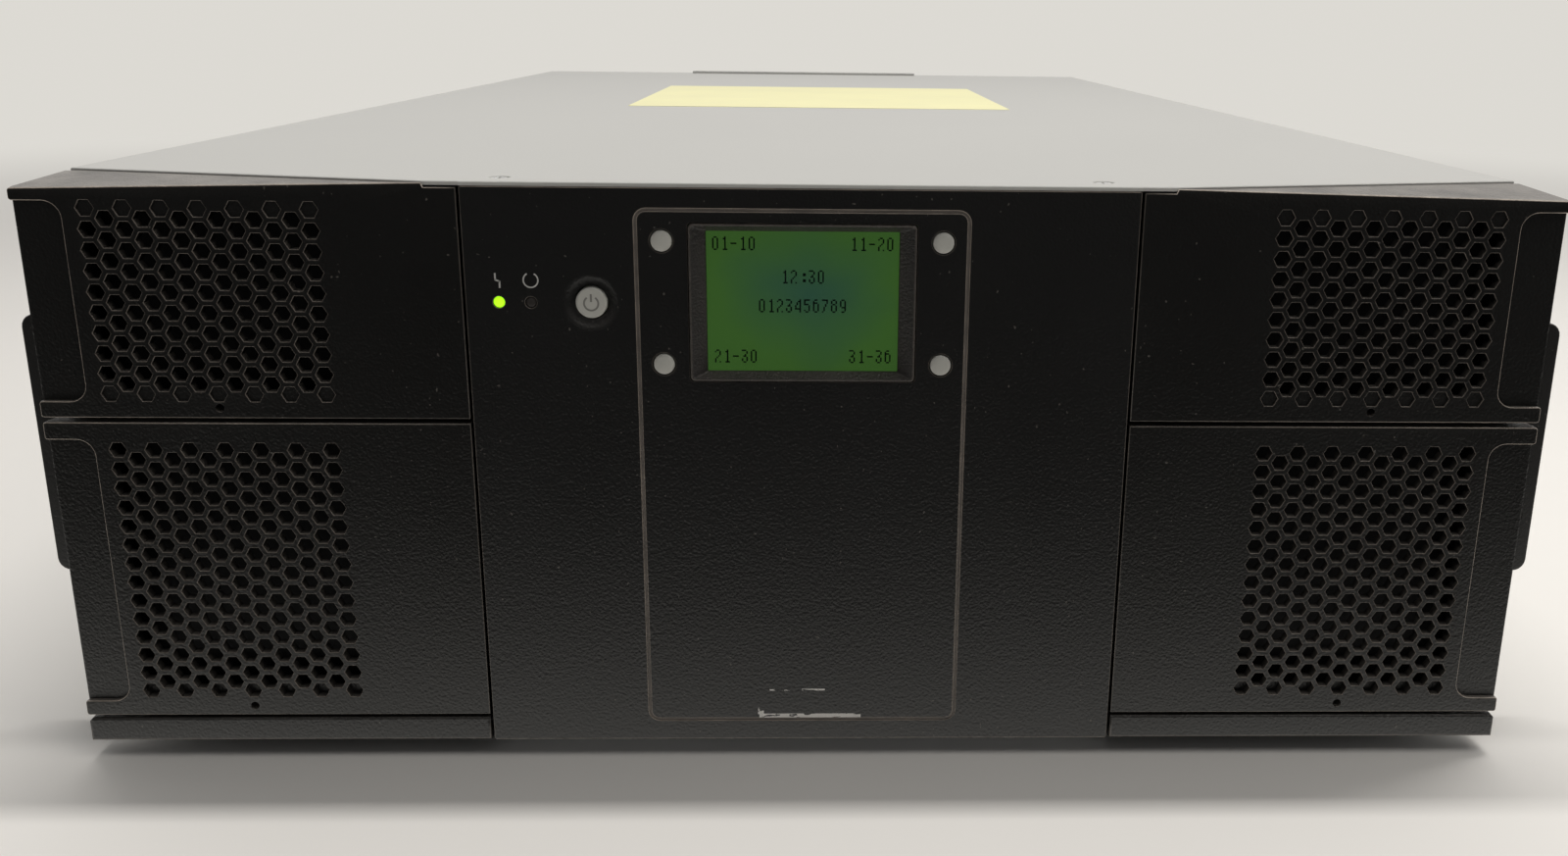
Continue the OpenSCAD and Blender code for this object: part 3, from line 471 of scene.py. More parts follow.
# ---- centre fascia ----
# One black moulding of ABS with a fine pebbled skin. A groove frames the operator panel and the blank field
# under it; openings let the keys, the lamps and the display through. It clips on two posts of the chassis.
# The pale edge colour of the black mouldings is a painted highlight on their rounded edges, with some wear;
# their pale film on upward faces is partly painted sheen.
rubbed_and_highlight = (0.55, 0.47, 0.40)
moulded_black = finish_of("moulded black", (0.0075, 0.0073, 0.0072), 0.40, 0.0, (45, 0.10), (0.9, 0.16),
                          wear_and_highlight=(rubbed_and_highlight, 0.8), dust_and_sheen=((0.42, 0.38, 0.34), 0.15, 0.18))
fascia_half, fascia_low, fascia_high = 97.2, 0.1, top_z - 0.1
fascia_wall = 3.2
panel_z = 140.4
key_x, key_z = 40.55, 18.1
lamp_x = [-87.6, -78.4]
power_x = -61.1
frame_w, frame_h = 66.0, 46.4


def cut_rect(w, h, x, z, r=0.0):
    """A clockwise rectangle round a centre, for an opening."""
    return rounded(x - w / 2, z - h / 2, x + w / 2, z + h / 2, r, hole=True)


groove_z = 87.2
surround = plate([rounded(-fascia_half, fascia_low, fascia_half, fascia_high, 0.6),
                  cut_rect(96.5, 161.1, 0, groove_z, 3.5)]
                 + [circle(1.72, 20, x, panel_z) for x in lamp_x] + [circle(8.2, 48, power_x, panel_z)],
                 0, fascia_wall, [0.4, 0.3, 0.2, 0.2, 0.05], 3)
# Less painted highlight on the fascia's outer side edges, next to the dark gaps.
surround[3][np.abs(surround[0][:, 0]) > fascia_half - 0.5] *= 0.3
inside = plate([rounded(-47.5, groove_z - 79.8, 47.5, groove_z + 79.8, 2.6),
                cut_rect(frame_w + 0.3, frame_h + 0.3, 0, panel_z, 1.2)]
               + [circle(3.45, 28, sx * key_x, panel_z + sz * key_z) for sx in (-1, 1) for sz in (-1, 1)],
               0, fascia_wall, [0.3, 0.15, 0.2, 0.2, 0.2, 0.2], 3)
fall = np.linspace(0, 1, 9)
dish_line = np.stack([8.2 - 2.9 * fall, 0.05 + 1.15 * (0.5 - 0.5 * np.cos(np.pi * fall))], axis=1)
dish_back = [(5.05, 1.35), (4.95, 1.7), (4.95, fascia_wall), (9.2, fascia_wall), (9.2, 0.6)]
dish = revolved(np.concatenate([dish_line, dish_back]), 48)
dish = (dish[0], dish[1][:, ::-1], dish[2][:, ::-1], dish[3])
piece("fascia_moulding", joined(facing(surround, "front"), facing(inside, "front"),
                                moved(facing(dish, "front"), power_x, 0, panel_z)),
      moulded_black, "chassis", ["centre_fascia"])


def scuff(material, x, z, wide, high, amount):
    """Pale flakes on the front: noise stretched along X, cut off outside x +- wide and z +- high."""
    tree = material.node_tree
    shader = tree.nodes["Principled BSDF"]
    middle = tuple(in_frame([x, 0, z]))
    offset = vector_maths(tree, "SUBTRACT", add_node(tree, "TexCoord").outputs["Object"], middle)
    split = add_node(tree, "SeparateXYZ", [(0, offset)]).outputs
    inside = [maths(tree, "LESS_THAN", maths(tree, "ABSOLUTE", split[axis]), reach / 1000)
              for axis, reach in (("X", wide), ("Z", high))]
    flakes = maths(tree, "GREATER_THAN", object_noise(tree, 0.9, 4.0, (0.25, 1, 1)).outputs[0], 1 - amount)
    mask = maths(tree, "MULTIPLY", maths(tree, "MULTIPLY", *inside), flakes)
    before = shader.inputs["Base Color"].links[0].from_socket
    tree.links.new(mixed(tree, mask, before, (0.75, 0.73, 0.70, 1)), shader.inputs["Base Color"])


fascia_black = moulded_black.copy()
fascia_black.name = "fascia black"
for x, z, wide, high, amount in ((2.4, 8.0, 16.0, 0.9, 0.56), (-13.1, 9.8, 0.9, 1.1, 0.6),
                                 (-6.7, 17.1, 3.6, 0.22, 0.5), (3.4, 17.2, 3.6, 0.28, 0.55)):
    scuff(fascia_black, x, z, wide, high, amount)
bpy.data.objects["fascia_moulding"].data.materials[0] = fascia_black
# The groove's floor is painted pale brown: a painted sheen for the light its faces catch, with some dust.
groove_sheen_and_dust = finish_of("groove", (0.13, 0.113, 0.10), 0.5, 0.0, (12, 0.5), (0.7, 0.12),
                        dust_and_sheen=((0.25, 0.22, 0.19), 0.3, 0.5))
groove_floor = plate([rounded(-50, groove_z - 82.2, 50, groove_z + 82.2, 4),
                      cut_rect(92, 156.6, 0, groove_z, 2)], 0.4, 2.6, 0)
piece("fascia_groove", facing(groove_floor, "front"), groove_sheen_and_dust, "chassis")
rim_wall = facing(plate([rounded(-5, 0.12, 5, 171.5, 0)], -1, 1, 0), "right")
rims = joined(*[moved(rim_wall, side * (fascia_half - 1), 8.1, 1.9) for side in (-1, 1)])
piece("fascia_rims", rims, moulded_black, "chassis")

# ---- bottom bars ----
# Two black mouldings that close the front below the lower doors; the outer top corner is cut off.
bar_outline = np.array([[98.0, 0.1], [222.4, 0.1], [222.4, 6.7], [221.2, 7.9], [98.0, 7.9]])
bar = plate([bar_outline], 0, 12.4, 0.9, 3)
# The bars get little painted highlight on their edges, least along the top.
bar[3][bar[0][:, 1] > 4] *= 0.05
bar[3][:] *= 0.3
bar = facing(bar, "front")
for side, shape in (("right", bar), ("left", mirrored(bar))):
    piece(f"bottom_bar_{side}_moulding", shape, moulded_black, "chassis",
          [f"bottom_bar_{side}"])

# ---- rack ears ----
# Steel ears bolted to the side walls behind the front, painted black, with two slots for the rack screws.
ear_black = finish_of("ear paint", (0.013, 0.0125, 0.012), 0.42, 0.0, (30, 0.08), (0.9, 0.06),
                      wear_and_highlight=((0.16, 0.15, 0.14), 0.6), dust_and_sheen=((0.22, 0.20, 0.18), 0.06, 0.3))


def capsule(w, h, x, z, count=10):
    """A slot with round ends that lies along X, clockwise: two half circles of radius h / 2."""
    turn = np.linspace(-np.pi / 2, np.pi / 2, count)
    end = np.stack([(w - h) / 2 + h / 2 * np.cos(turn), h / 2 * np.sin(turn)], axis=1)
    return (np.concatenate([end, -end]) + np.array([x, z]))[::-1]


ear_mid, slot_z = 87.5, 22.225
flange = plate([rounded(half_w + 0.1, ear_mid - 42.2, 241.25, ear_mid + 42.2, 4.0)]
               + [capsule(10, 6.8, 232.55, ear_mid + z) for z in (-slot_z, slot_z)], 30, 32.5, 0.4, 2, 0.3)
bracket = plate([rounded(30.5, ear_mid - 36, 66, ear_mid + 36, 3.0)], -half_w - 2, -half_w, 0.4)
bolt = recessed_head(3.4, 1.2, 0.9, 0.9)
bolts = joined(*[moved(facing(bolt, "right"), half_w + 3.1, 54, ear_mid + z) for z in (-26, 26)])
ear = joined(facing(flange, "front"), facing(bracket, "right"))
for side, shape, heads in (("right", ear, bolts), ("left", mirrored(ear), mirrored(bolts))):
    piece(f"rack_ear_{side}_sheet", shape, ear_black, "chassis", [f"rack_ear_{side}"])
    piece(f"rack_ear_{side}_bolts", heads, screw_zinc, "chassis")

# ---- display ----
# A monochrome display behind a clear window. A separate black frame slopes back to the glass on all sides.
# The green backlight is brighter at its edges; dark dots make figures of four by nine dots.


def lofted(loops, levels, rub_and_highlight):
    """Rings carried from loop to loop: ring i is loop i at depth levels[i]; both ends stay open."""
    count = len(loops[0])
    rings = np.concatenate([np.concatenate([loop, np.full((count, 1), level)], axis=1)
                            for loop, level in zip(loops, levels)])
    rim = np.repeat(np.asarray(rub_and_highlight, float), count)
    return rings, ring_quads(len(loops), count), np.zeros((0, 3), int), rim


def centred(w, h, r):
    """An anticlockwise rectangle round the origin."""
    return rounded(-w / 2, -h / 2, w / 2, h / 2, r)


view_w, view_h, glass_y = 56.0, 41.4, 3.0
frame_rings = [(view_w, view_h, 0.25, glass_y + 0.25), (view_w + 0.1, view_h + 0.1, 0.3, glass_y - 0.2),
               (view_w + 0.5, view_h + 0.5, 0.4, glass_y - 0.55),
               (frame_w - 1.9, frame_h - 1.5, 0.9, -0.35), (frame_w - 1.4, frame_h - 1.1, 1.0, -0.55),
               (frame_w - 0.9, frame_h - 0.8, 1.1, -0.58), (frame_w - 0.4, frame_h - 0.4, 1.2, -0.4),
               (frame_w - 0.1, frame_h - 0.1, 1.3, 0.0),
               (frame_w - 0.1, frame_h - 0.1, 1.3, glass_y + 0.25)]
# The last list is each ring's rim value: painted highlight and wear, most on the outer rounded edge.
frame_shape = lofted([centred(w, h, r) for w, h, r, _ in frame_rings], [ring[3] for ring in frame_rings],
                     [0, 0, 0.2, 0, 0.6, 0.9, 0.6, 0, 0])
# The display frame's paler rims and the pale film on its upward lower slope are painted highlight and sheen,
# with some wear and dust.
frame_black = finish_of("display frame", (0.022, 0.020, 0.019), 0.42, 0.0, (25, 0.08), (0.75, 0.22),
                        wear_and_highlight=(rubbed_and_highlight, 0.15), dust_and_sheen=((0.25, 0.22, 0.2), 0.25, 0.4))
piece("display_frame_moulding", moved(facing(frame_shape, "front"), z=panel_z), frame_black, "chassis",
      ["display_frame"])

glow = bpy.data.materials.new("backlit display")
glow.use_nodes = True
tree = glow.node_tree
shader = tree.nodes["Principled BSDF"]
shader.inputs["Roughness"].default_value = 0.3
spot = add_node(tree, "TexCoord").outputs["Object"]
centre = tuple(in_frame([2.0, 4.4, panel_z + 1.0]))
spot = vector_maths(tree, "MULTIPLY", vector_maths(tree, "SUBTRACT", spot, centre), (36.0, 0.0, 44.0))
reach = add_node(tree, "VectorMath", [(0, spot)], operation="LENGTH").outputs["Value"]
patch = add_node(tree, "TexNoise", [("Vector", spot), ("Scale", 1.3), ("Detail", 1.0)]).outputs[0]
unevenness = maths(tree, "MULTIPLY", maths(tree, "SUBTRACT", patch, 0.5), 0.9)
reach = maths(tree, "ADD", reach, unevenness, clamp=True)
green = mixed(tree, reach, (0.022, 0.062, 0.040, 1), (0.038, 0.095, 0.019, 1))
tree.links.new(green, shader.inputs["Base Color"])
tree.links.new(green, shader.inputs["Emission Color"])
shader.inputs["Emission Strength"].default_value = 0.75
back = plate([centred(62, 44.6, 0.5)], 4.4, 9.4, 0.1)
piece("display_panel", moved(facing(back, "front"), z=panel_z), glow, "chassis",
      ["display_module"])

digits = {"0": "699999996", "1": "262222227", "2": "691124889", "3": "e11261996", "4": "135599f11",
          "5": "f88e11196", "6": "68e999996", "7": "f11224448", "8": "699699996", "9": "699997116",
          "-": "0000f0000", ":": "003300330"}
dot, figure_pitch = 0.44, 6


def written(text, x, z):
    """Small squares from x and z to the right, one for each dot; a figure is four dots wide and nine high."""
    squares = []
    for place, figure in enumerate(text):
        rows = np.array([[int(c, 16) >> (3 - i) & 1 for i in range(4)] for c in digits[figure]])
        row, column = np.nonzero(rows)
        squares.append(np.stack([x + (place * figure_pitch + column) * dot, z - row * dot], axis=1))
    corner = np.concatenate(squares)
    return corner[:, None] + np.array([[0, -dot], [dot, -dot], [dot, 0], [0, 0]])[None]


lines = np.concatenate([written(text, x, z) for text, x, z in (
    ("01-10", -26.3, 18.9), ("11-20", 13.9, 18.9), ("12:30", -6.2, 9.2),
    ("0123456789", -12.9, 0.6), ("21-30", -26.0, -14.6), ("31-36", 13.7, -14.6))])
count = len(lines)
flat = np.concatenate([lines, np.full((count, 4, 1), 4.33)], axis=2).reshape(-1, 3)
figures = (flat, np.arange(count * 4).reshape(-1, 4), np.zeros((0, 3), int), np.zeros(count * 4))
display_dark = finish_of("display dots", (0.001, 0.004, 0.004), 0.6, 0.0, (5, 0.02),
                         Specular_IOR_Level=0.2)
piece("display_figures", moved(facing(figures, "front"), z=panel_z), display_dark, "chassis",
      smooth=False)
clear = finish_of("clear window", (0.92, 0.97, 0.93), 0.06, 0.0, (30, 0.01), Transmission_Weight=1.0,
                  IOR=1.1)
pane = plate([centred(61.8, 44.4, 0.5)], glass_y + 0.27, 3.9, 0.05)
piece("display_pane", moved(facing(pane, "front"), z=panel_z), clear, "chassis",
      ["display_window"])

# ---- board and lamps ----
# The board behind the fascia carries the switches and two lamps; the left one is lit yellow green.
board_green = finish_of("board", (0.02, 0.10, 0.045), 0.35, 0.0, (12, 0.2), (1.2, 0.02))
dress(board_green, "front_board", "backplane")
lamp_green = finish_of("lamp lit", (0.35, 0.85, 0.02), 0.3, 0.0, (2, 0.05), Emission_Strength=1.15)
lamp_green.node_tree.nodes["Principled BSDF"].inputs["Emission Color"].default_value = (0.40, 1.0, 0.01, 1)
lamp_off = finish_of("lamp dark", (0.030, 0.026, 0.024), 0.35, 0.0, (2, 0.1))
lens = revolved([(0, 0.02), (0.6, 0.06), (1.1, 0.17), (1.45, 0.36), (1.62, 0.7), (1.62, 9.4), (0, 9.4)], 24)
for label_of, x, glass in (("lamp_ready", lamp_x[0], lamp_green), ("lamp_fault", lamp_x[1], lamp_off)):
    piece(label_of + "_lens", moved(facing(lens, "front"), x, 0, panel_z), glass, "chassis",
          [label_of])

# ---- signs over the lamps ----
# A zigzag and an open ring printed in pale grey ink on the fascia.


def ribbon(path, width, depth=-0.03):
    """A flat stroke: at each point of the path, half the width is laid off both ways along the mitre."""
    path = np.asarray(path, float)
    step = np.gradient(path, axis=0)
    step /= np.linalg.norm(step, axis=1, keepdims=True)
    left = np.stack([-step[:, 1], step[:, 0]], axis=1) * width / 2
    rows = np.stack([path - left, path + left], axis=1)
    points = np.concatenate([rows, np.full(rows.shape[:2] + (1,), depth)], axis=2).reshape(-1, 3)
    i = np.arange(len(path) - 1) * 2
    return points, np.stack([i, i + 2, i + 3, i + 1], 1), np.zeros((0, 3), int), np.zeros(len(points))


ink = finish_of("sign ink", (0.42, 0.42, 0.41), 0.6, 0.0, (4, 0.1))
open_ring = np.radians(np.linspace(118, 422, 40))
signs = joined(
    ribbon([(-88.3, 148.9), (-88.3, 146.9)], 0.5),
    ribbon([(-88.5, 147.0), (-87.0, 146.5)], 0.5),
    ribbon([(-87.1, 146.7), (-87.1, 144.6)], 0.5),
    ribbon(np.stack([-78.2 + 2.1 * np.cos(open_ring), 146.9 + 2.1 * np.sin(open_ring)], 1), 0.42))
piece("lamp_signs", facing(signs, "front"), ink, "chassis", smooth=False)

# ---- keys and power button ----
# Pale grey moulded caps on stems. The four soft keys are domed; the power button is flat, with the usual
# broken ring and bar sunk in it.
key_grey = finish_of("key grey", (0.43, 0.43, 0.40), 0.45, 0.0, (5, 0.06), (0.4, 0.01),
                     wear_and_highlight=((0.25, 0.25, 0.23), 0.3))
key_cap = revolved([(0, -1.0), (1.2, -0.93), (2.1, -0.74), (2.7, -0.45), (2.95, -0.2), (3.08, 0.15),
                    (3.1, 0.6), (3.1, 4.0), (2.1, 4.0), (2.1, 6.4), (0, 6.4)], 32)
for number, (sx, sz) in enumerate([(-1, 1), (-1, -1), (1, 1), (1, -1)], 1):
    soft_key = moved(facing(key_cap, "front"), sx * key_x, 0, panel_z + sz * key_z)
    piece(f"soft_key_{number}_cap", soft_key, key_grey, f"soft_key_{number}",
          [f"soft_key_{number}"])
power_cap = revolved([(0, -0.28), (3.6, -0.28), (4.1, -0.2), (4.42, 0.05), (4.55, 0.4), (4.6, 4.0),
                      (3.1, 4.0), (3.1, 6.4), (0, 6.4)], 40)
power_cap = moved(facing(power_cap, "front"), power_x, 0, panel_z)
piece("power_button_cap", power_cap, key_grey, "power_button", ["power_button"])
mark_dark = finish_of("power sign", (0.17, 0.17, 0.155), 0.55, 0.0, (3, 0.1))
broken_ring = np.radians(np.linspace(125, 415, 40))
ring_path = np.stack([2.05 * np.cos(broken_ring), 2.05 * np.sin(broken_ring) - 0.15], 1)
mark = joined(ribbon(ring_path, 0.55, -0.295), ribbon([(0, 2.6), (0, 0.3)], 0.6, -0.295))
piece("power_button_mark", moved(facing(mark, "front"), power_x, 0, panel_z), mark_dark, "power_button",
      smooth=False)

# ---- magazine doors ----
# Four black mouldings, one on the front of each magazine. A field of hexagons lets the air in; those at the
# ends of the long columns are blind. A shallow recess at the outer edge takes the fingers.
hex_pitch, hex_flats, hex_x, hex_cols = 6.0, 4.5, 170.6, 13


def hexagons(rows, mid_z):
    """Centres of the vents and whether each is the first or the last of a long column.

    Columns are sqrt(3)/2 pitch apart; odd ones start half a pitch lower and are one hexagon shorter.
    """
    column = np.repeat(np.arange(hex_cols), rows)
    row = np.tile(np.arange(rows), hex_cols)
    kept = row < rows - column % 2
    column, row = column[kept], row[kept]
    count = rows - column % 2
    centre = np.stack([hex_x + (column - (hex_cols - 1) / 2) * hex_pitch * math.sqrt(3) / 2,
                       mid_z + ((count - 1) / 2 - row) * hex_pitch], axis=1)
    return centre, (column % 2 == 0) & (row == 0), (column % 2 == 0) & (row == rows - 1)


def hexagon(at, flats=hex_flats):
    """Six corners round a centre, clockwise."""
    turn = np.radians(np.arange(0, -360, -60))
    return at + flats / math.sqrt(3) * np.stack([np.cos(turn), np.sin(turn)], axis=1)


def arc(x, z, r, start, end, count=8):
    """Points on a circle between two angles in degrees."""
    turn = np.radians(np.linspace(start, end, count))
    return np.stack([x + r * np.cos(turn), z + r * np.sin(turn)], axis=1)


def slope(x, y):
    """Height of the upper doors' sloping top: it rises with y and falls with x."""
    return 174.5 + slope_fall * (y - slope_run * (x - slope_from))


def door_shape(low, high, recess_low, recess_high, rows, mid_z, sloping):
    """The right hand door: pierced front face, recessed strip, wall plates behind and the outer wing."""
    inner, out, step_x, r, corner = 98.0, 222.5, 208.6, 5.0, 0.8
    if sloping:
        top = np.array([[out, slope(out, 0)], [107.6, slope(107.6, 0)], [107.0, 173.2], [inner, 173.2]])
    else:
        top = np.array([[out, high], [inner, high]])
    face = np.concatenate([
        [[inner, low]], arc(out - corner, low + corner, corner, -90, 0, 4),
        arc(out - corner, recess_low - corner, corner, 0, 90, 4),
        arc(step_x + r, recess_low + r, r, 270, 180), arc(step_x + r, recess_high - r, r, 180, 90),
        arc(out - corner, recess_high + corner, corner, -90, 0, 4),
        arc(out - corner, top[0, 1] - corner, corner, 0, 90, 4), top[1:]])
    centre, first, last = hexagons(rows, mid_z)
    holes = [hexagon(at) for at in centre]
    pin = circle(1.3, 16, hex_x, low + 3.1)
    front = plate([face] + holes + [pin], 0, 3.2, [0.35] + [0.2] * len(holes) + [0.1], 2)
    # No painted highlight on the door's inner edge next to the gap: the rim value there is cut to a fifth.
    front[3][front[0][:, 0] < inner + 0.6] *= 0.2
    blind = centre[first | last] if sloping else centre[last]
    floor_y = 0.7 if sloping else 3.0
    floors = [plate([hexagon(at, hex_flats + 0.4)[::-1]], floor_y, floor_y + 0.6, 0) for at in blind]
    strip = np.array([[204.0, 1.62], [221.5, 1.62], [222.2, 1.9], [222.4, 2.6], [218.3, 24.4], [215.9, 24.4],
                      [217.6, 14.0], [218.6, 4.6], [204.0, 4.6]])
    wing_top = slope(222, 0) - 0.6 if sloping else high - 0.1
    wing = plate([strip], -wing_top, -low - 0.1, 0.3, 2, 0.3)
    deck = np.array([[98.1, 1.2], [221.6, 1.2], [219.6, 13.9], [98.1, 13.9]])
    sheets = [facing(front, "front"), *[facing(f, "front") for f in floors], facing(wing, "top"),
              facing(plate([deck], -low - 2.0, -low - 0.05, 0.2), "top"),
              facing(plate([np.array([[98.05, 1.2], [100.1, 1.2], [100.1, 13.9], [98.05, 13.9]])],
                           -high + (1.6 if sloping else 0.2), -low - 0.1, 0.2), "top")]
    if sloping:
        wedge = plate([np.array([[112.2, 0.55], [222.0, 0.55], [222.4, 2.2], [218.3, 24.4], [213.9, 24.4]])],
                      0, 2.6, 0.35, 3)
        points = wedge[0].copy()
        points[:, 2] -= slope(points[:, 0], points[:, 1])
        sheets.append(facing((points,) + wedge[1:], "top"))
        sheets.append(facing(plate([np.array([[98.1, 1.2], [107, 1.2], [161, 13.9], [98.1, 13.9]])],
                                   -173.15, -171.2, 0.1), "top"))
    else:
        sheets.append(facing(plate([deck], -high + 0.05, -high + 2.0, 0.2), "top"))
    return joined(*sheets)


# The doors get strong pale edges, a painted highlight with some wear, and a thick pale film on upward faces,
# a painted sheen on their sloping tops with some dust.
door_black = finish_of("door black", (0.0058, 0.0054, 0.0048), 0.40, 0.0, (45, 0.10), (0.9, 0.16),
                       wear_and_highlight=(rubbed_and_highlight, 1.1), dust_and_sheen=((0.42, 0.38, 0.34), 0.6, 0.18))
upper = door_shape(105.3, 174.5, 110.2, 168.5, 10, 139.55, True)
lower = door_shape(9.0, 103.8, 13.9, 98.5, 14, 56.4, False)
for level_name, shape in (("upper", upper), ("lower", lower)):
    for side, own in (("right", shape), ("left", mirrored(shape))):
        piece(f"door_{level_name}_{side}_moulding", own, door_black, f"magazine_{level_name}_{side}",
              [f"door_{level_name}_{side}"])

# ---- magazines and cartridges ----
# Each magazine is a black moulded rack of open cells, two or three rows of four, behind its door. Every cell
# holds a tape cartridge with its label end towards the robot's aisle; the labels are blank.
tray_black = finish_of("magazine plastic", (0.006, 0.006, 0.0065), 0.5, 0.0, (30, 0.08), (0.7, 0.04),
                       wear_and_highlight=((0.05, 0.05, 0.05), 0.4), dust_and_sheen=((0.2, 0.19, 0.17), 0.04, 0.1))
cartridge_shell = finish_of("cartridge shell", (0.028, 0.028, 0.031), 0.42, 0.0, (35, 0.10), (0.5, 0.03),
                            dust_and_sheen=((0.2, 0.2, 0.19), 0.03, 0.1))
label_white = finish_of("cartridge label", (0.62, 0.62, 0.60), 0.5, 0.0, (15, 0.05), (0.4, 0.01))
for level_name in ("upper", "lower"):
    for side in ("left", "right"):
        dress(tray_black, f"magazine_{level_name}_{side}")
        dress(cartridge_shell, f"cartridges_{level_name}_{side}")
cell_from, cell_long, wall = 36.0, 114.0, 2.0
for level_name, low, high, rows in (("upper", 108.0, 170.5, 2), ("lower", 11.5, 101.5, 3)):
    cell_high = (high - low - wall) / rows
    middle = [cell_from + (column + 0.5) * cell_long + wall / 2 for column in range(4)]
    heights = [low + row * cell_high + wall for row in range(rows)]
    outlines = [rounded(-y - 40.0, z + 4.6, -y + 40.0, z + 16.9, 0.8) for y in middle for z in heights]
    labels = facing(joined(*[plate([outline], 103.6, 103.95, 0.08) for outline in outlines]), "left")
    for side, shape in (("right", labels), ("left", mirrored(labels))):
        piece(f"cartridge_labels_{level_name}_{side}", shape, label_white, f"magazine_{level_name}_{side}")

# ---- robot ----
# A low carriage runs on two rods along the aisle; its masts guide the elevator, which carries the turning
# tray and the gripper. Bearings are bronze, the masts are pressed and painted, the belt is toothed rubber.
robot_dark = finish_of("robot paint", (0.035, 0.035, 0.038), 0.4, 0.0, (40, 0.08), (0.8, 0.03),
                       wear_and_highlight=((0.3, 0.3, 0.3), 0.4), dust_and_sheen=((0.3, 0.29, 0.27), 0.15, 0.2))
sled_steel = finish_of("bare steel", (0.42, 0.42, 0.43), 0.33, 1.0, (18, 0.10), (0.6, 0.01))
dress(robot_dark, "robot_masts", "robot_elevator", "robot_picker", "travel_motor")
dress(sled_steel, "robot_base", "robot_gripper")
belt_rubber = finish_of("belt rubber", (0.012, 0.012, 0.012), 0.7, 0.0, (10, 0.05), (2.0, 0.2))
dress(belt_rubber, "travel_belt")
pulley_brass = finish_of("brass", (0.55, 0.40, 0.16), 0.3, 1.0, (4, 0.08), (0.3, 0.01))
dress(pulley_brass, "motor_pulley", "idler_pulley")

# ---- tape drive sleds ----
# Four steel sleds slide in from the back. Each has a plate with vents, two data sockets, a folded pull tab
# and two thumbscrews whose knurled heads hold it to the chassis.
dress(sled_steel, *[f"tape_drive_{i}" for i in range(1, 5)])


def knurled(r, length, count=36):
    """A thumbscrew head: a turned profile whose widest rings are r (1 + 0.035 cos(18 angle))."""
    made = revolved([(0, 0.35), (1.6, 0.35), (1.8, 0.0), (r - 1.0, 0.0), (r - 0.25, 0.35), (r, 1.0),
                     (r, length - 2.2), (r - 0.7, length - 1.7), (r - 0.9, length), (0, length)], count)
    points = made[0].copy()
    around = np.arctan2(points[:, 1], points[:, 0])
    gripped = np.abs(np.hypot(points[:, 0], points[:, 1]) - r) < 0.05
    points[:, :2] *= np.where(gripped, 1 + 0.035 * np.cos(18 * around), 1.0)[:, None]
    return (points,) + made[1:]


thumbscrew = facing(knurled(4.75, 9.9), "back")
socket_black = finish_of("socket plastic", (0.010, 0.010, 0.011), 0.35, 0.0, (10, 0.05), (0.5, 0.01))


def socket(w, h, wall_t, depth, r=0.4):
    """A moulded collar: a rectangle with a smaller one cut out of it, set in a plate's opening."""
    opening = centred(w - 2 * wall_t, h - 2 * wall_t, r * 0.5)[::-1]
    return plate([centred(w, h, r), opening], -0.5, depth, 0.15)


drive_low, drive_pitch = 1.6, 43
for i in range(4):
    floor = drive_low + drive_pitch * i
    screws = joined(*[moved(thumbscrew, x, back_y + 11.1, floor + 8) for x in (-70, 70)])
    piece(f"tape_drive_{i + 1}_thumbscrews", screws, screw_zinc, f"tape_drive_{i + 1}")
    collars = joined(*[moved(facing(socket(19.6, 11.6, 1.1, 2.4), "back"), x, back_y + 1.3, floor + 20)
                       for x in (-34, -8)])
    piece(f"tape_drive_{i + 1}_sockets", collars, socket_black, f"tape_drive_{i + 1}")
    grip = plate([rounded(-12.2, floor + 5.2, 12.2, floor + 14.2, 1.5)], -back_y - 20.4, -back_y - 16.8,
                 0.5, 2, 0.4)
    piece(f"tape_drive_{i + 1}_grip", facing(grip, "back"), moulded_black, f"tape_drive_{i + 1}")

# ---- power supplies ----
# Two pluggable supplies with a wire finger guard over the fan, a mains inlet and a bent handle each.
dress(zinc_steel, "power_supply_1", "power_supply_2")
fan_black = finish_of("fan plastic", (0.012, 0.012, 0.012), 0.4, 0.0, (15, 0.05), (0.6, 0.02),
                      dust_and_sheen=((0.3, 0.29, 0.27), 0.1, 0.2))
dress(fan_black, "psu_fan_1", "psu_fan_2")
psu_x, psu_high = 147.5, 83.6
inlet_outline = np.array([[-11.9, -7.4], [11.9, -7.4], [11.9, 2.95], [7.45, 7.4], [-7.45, 7.4],
                          [-11.9, 2.95]])
for i, level in enumerate((1.8, 88.0)):
    inlet = plate([inlet_outline, (inlet_outline * 0.88)[::-1]], -0.5, 14.5, [0.3, 0.2])
    mains = moved(facing(inlet, "back"), psu_x - 36, back_y + 0.2, level + psu_high / 2 - 14)
    piece(f"power_supply_{i + 1}_inlet", mains, socket_black, f"power_supply_{i + 1}")
    boss = revolved([(0, -0.6), (10.0, -0.5), (11.6, 0.2), (11.9, 1.2), (11.9, 2.0), (0, 2.0)], 40)
    hub = moved(facing(boss, "back"), psu_x + 25, back_y - 3.6, level + psu_high / 2)
    piece(f"psu_fan_{i + 1}_hub_cap", hub, fan_black, f"psu_fan_{i + 1}")

# ---- controller ----
# The controller board sits on a tray behind a painted plate with three ports, vents and two thumbscrews.
dress(paint_grey, "controller_module")
plate_x = -half_w + 1.2 + 0.8
plate_w = half_w - 1.2 - 81.6 - 1.6
heads = joined(*[moved(thumbscrew, plate_x + x, back_y + 12.1, 76) for x in (8, plate_w - 8)])
piece("controller_thumbscrews", heads, screw_zinc, "controller")
ports = joined(*[moved(facing(socket(13.7, 10.7, 0.7, 2.4), "back"), plate_x + x + 9, back_y + 1.3, 16.5)
                 for x in (20, 50, 78)])
piece("controller_ports", ports, sled_steel, "controller")

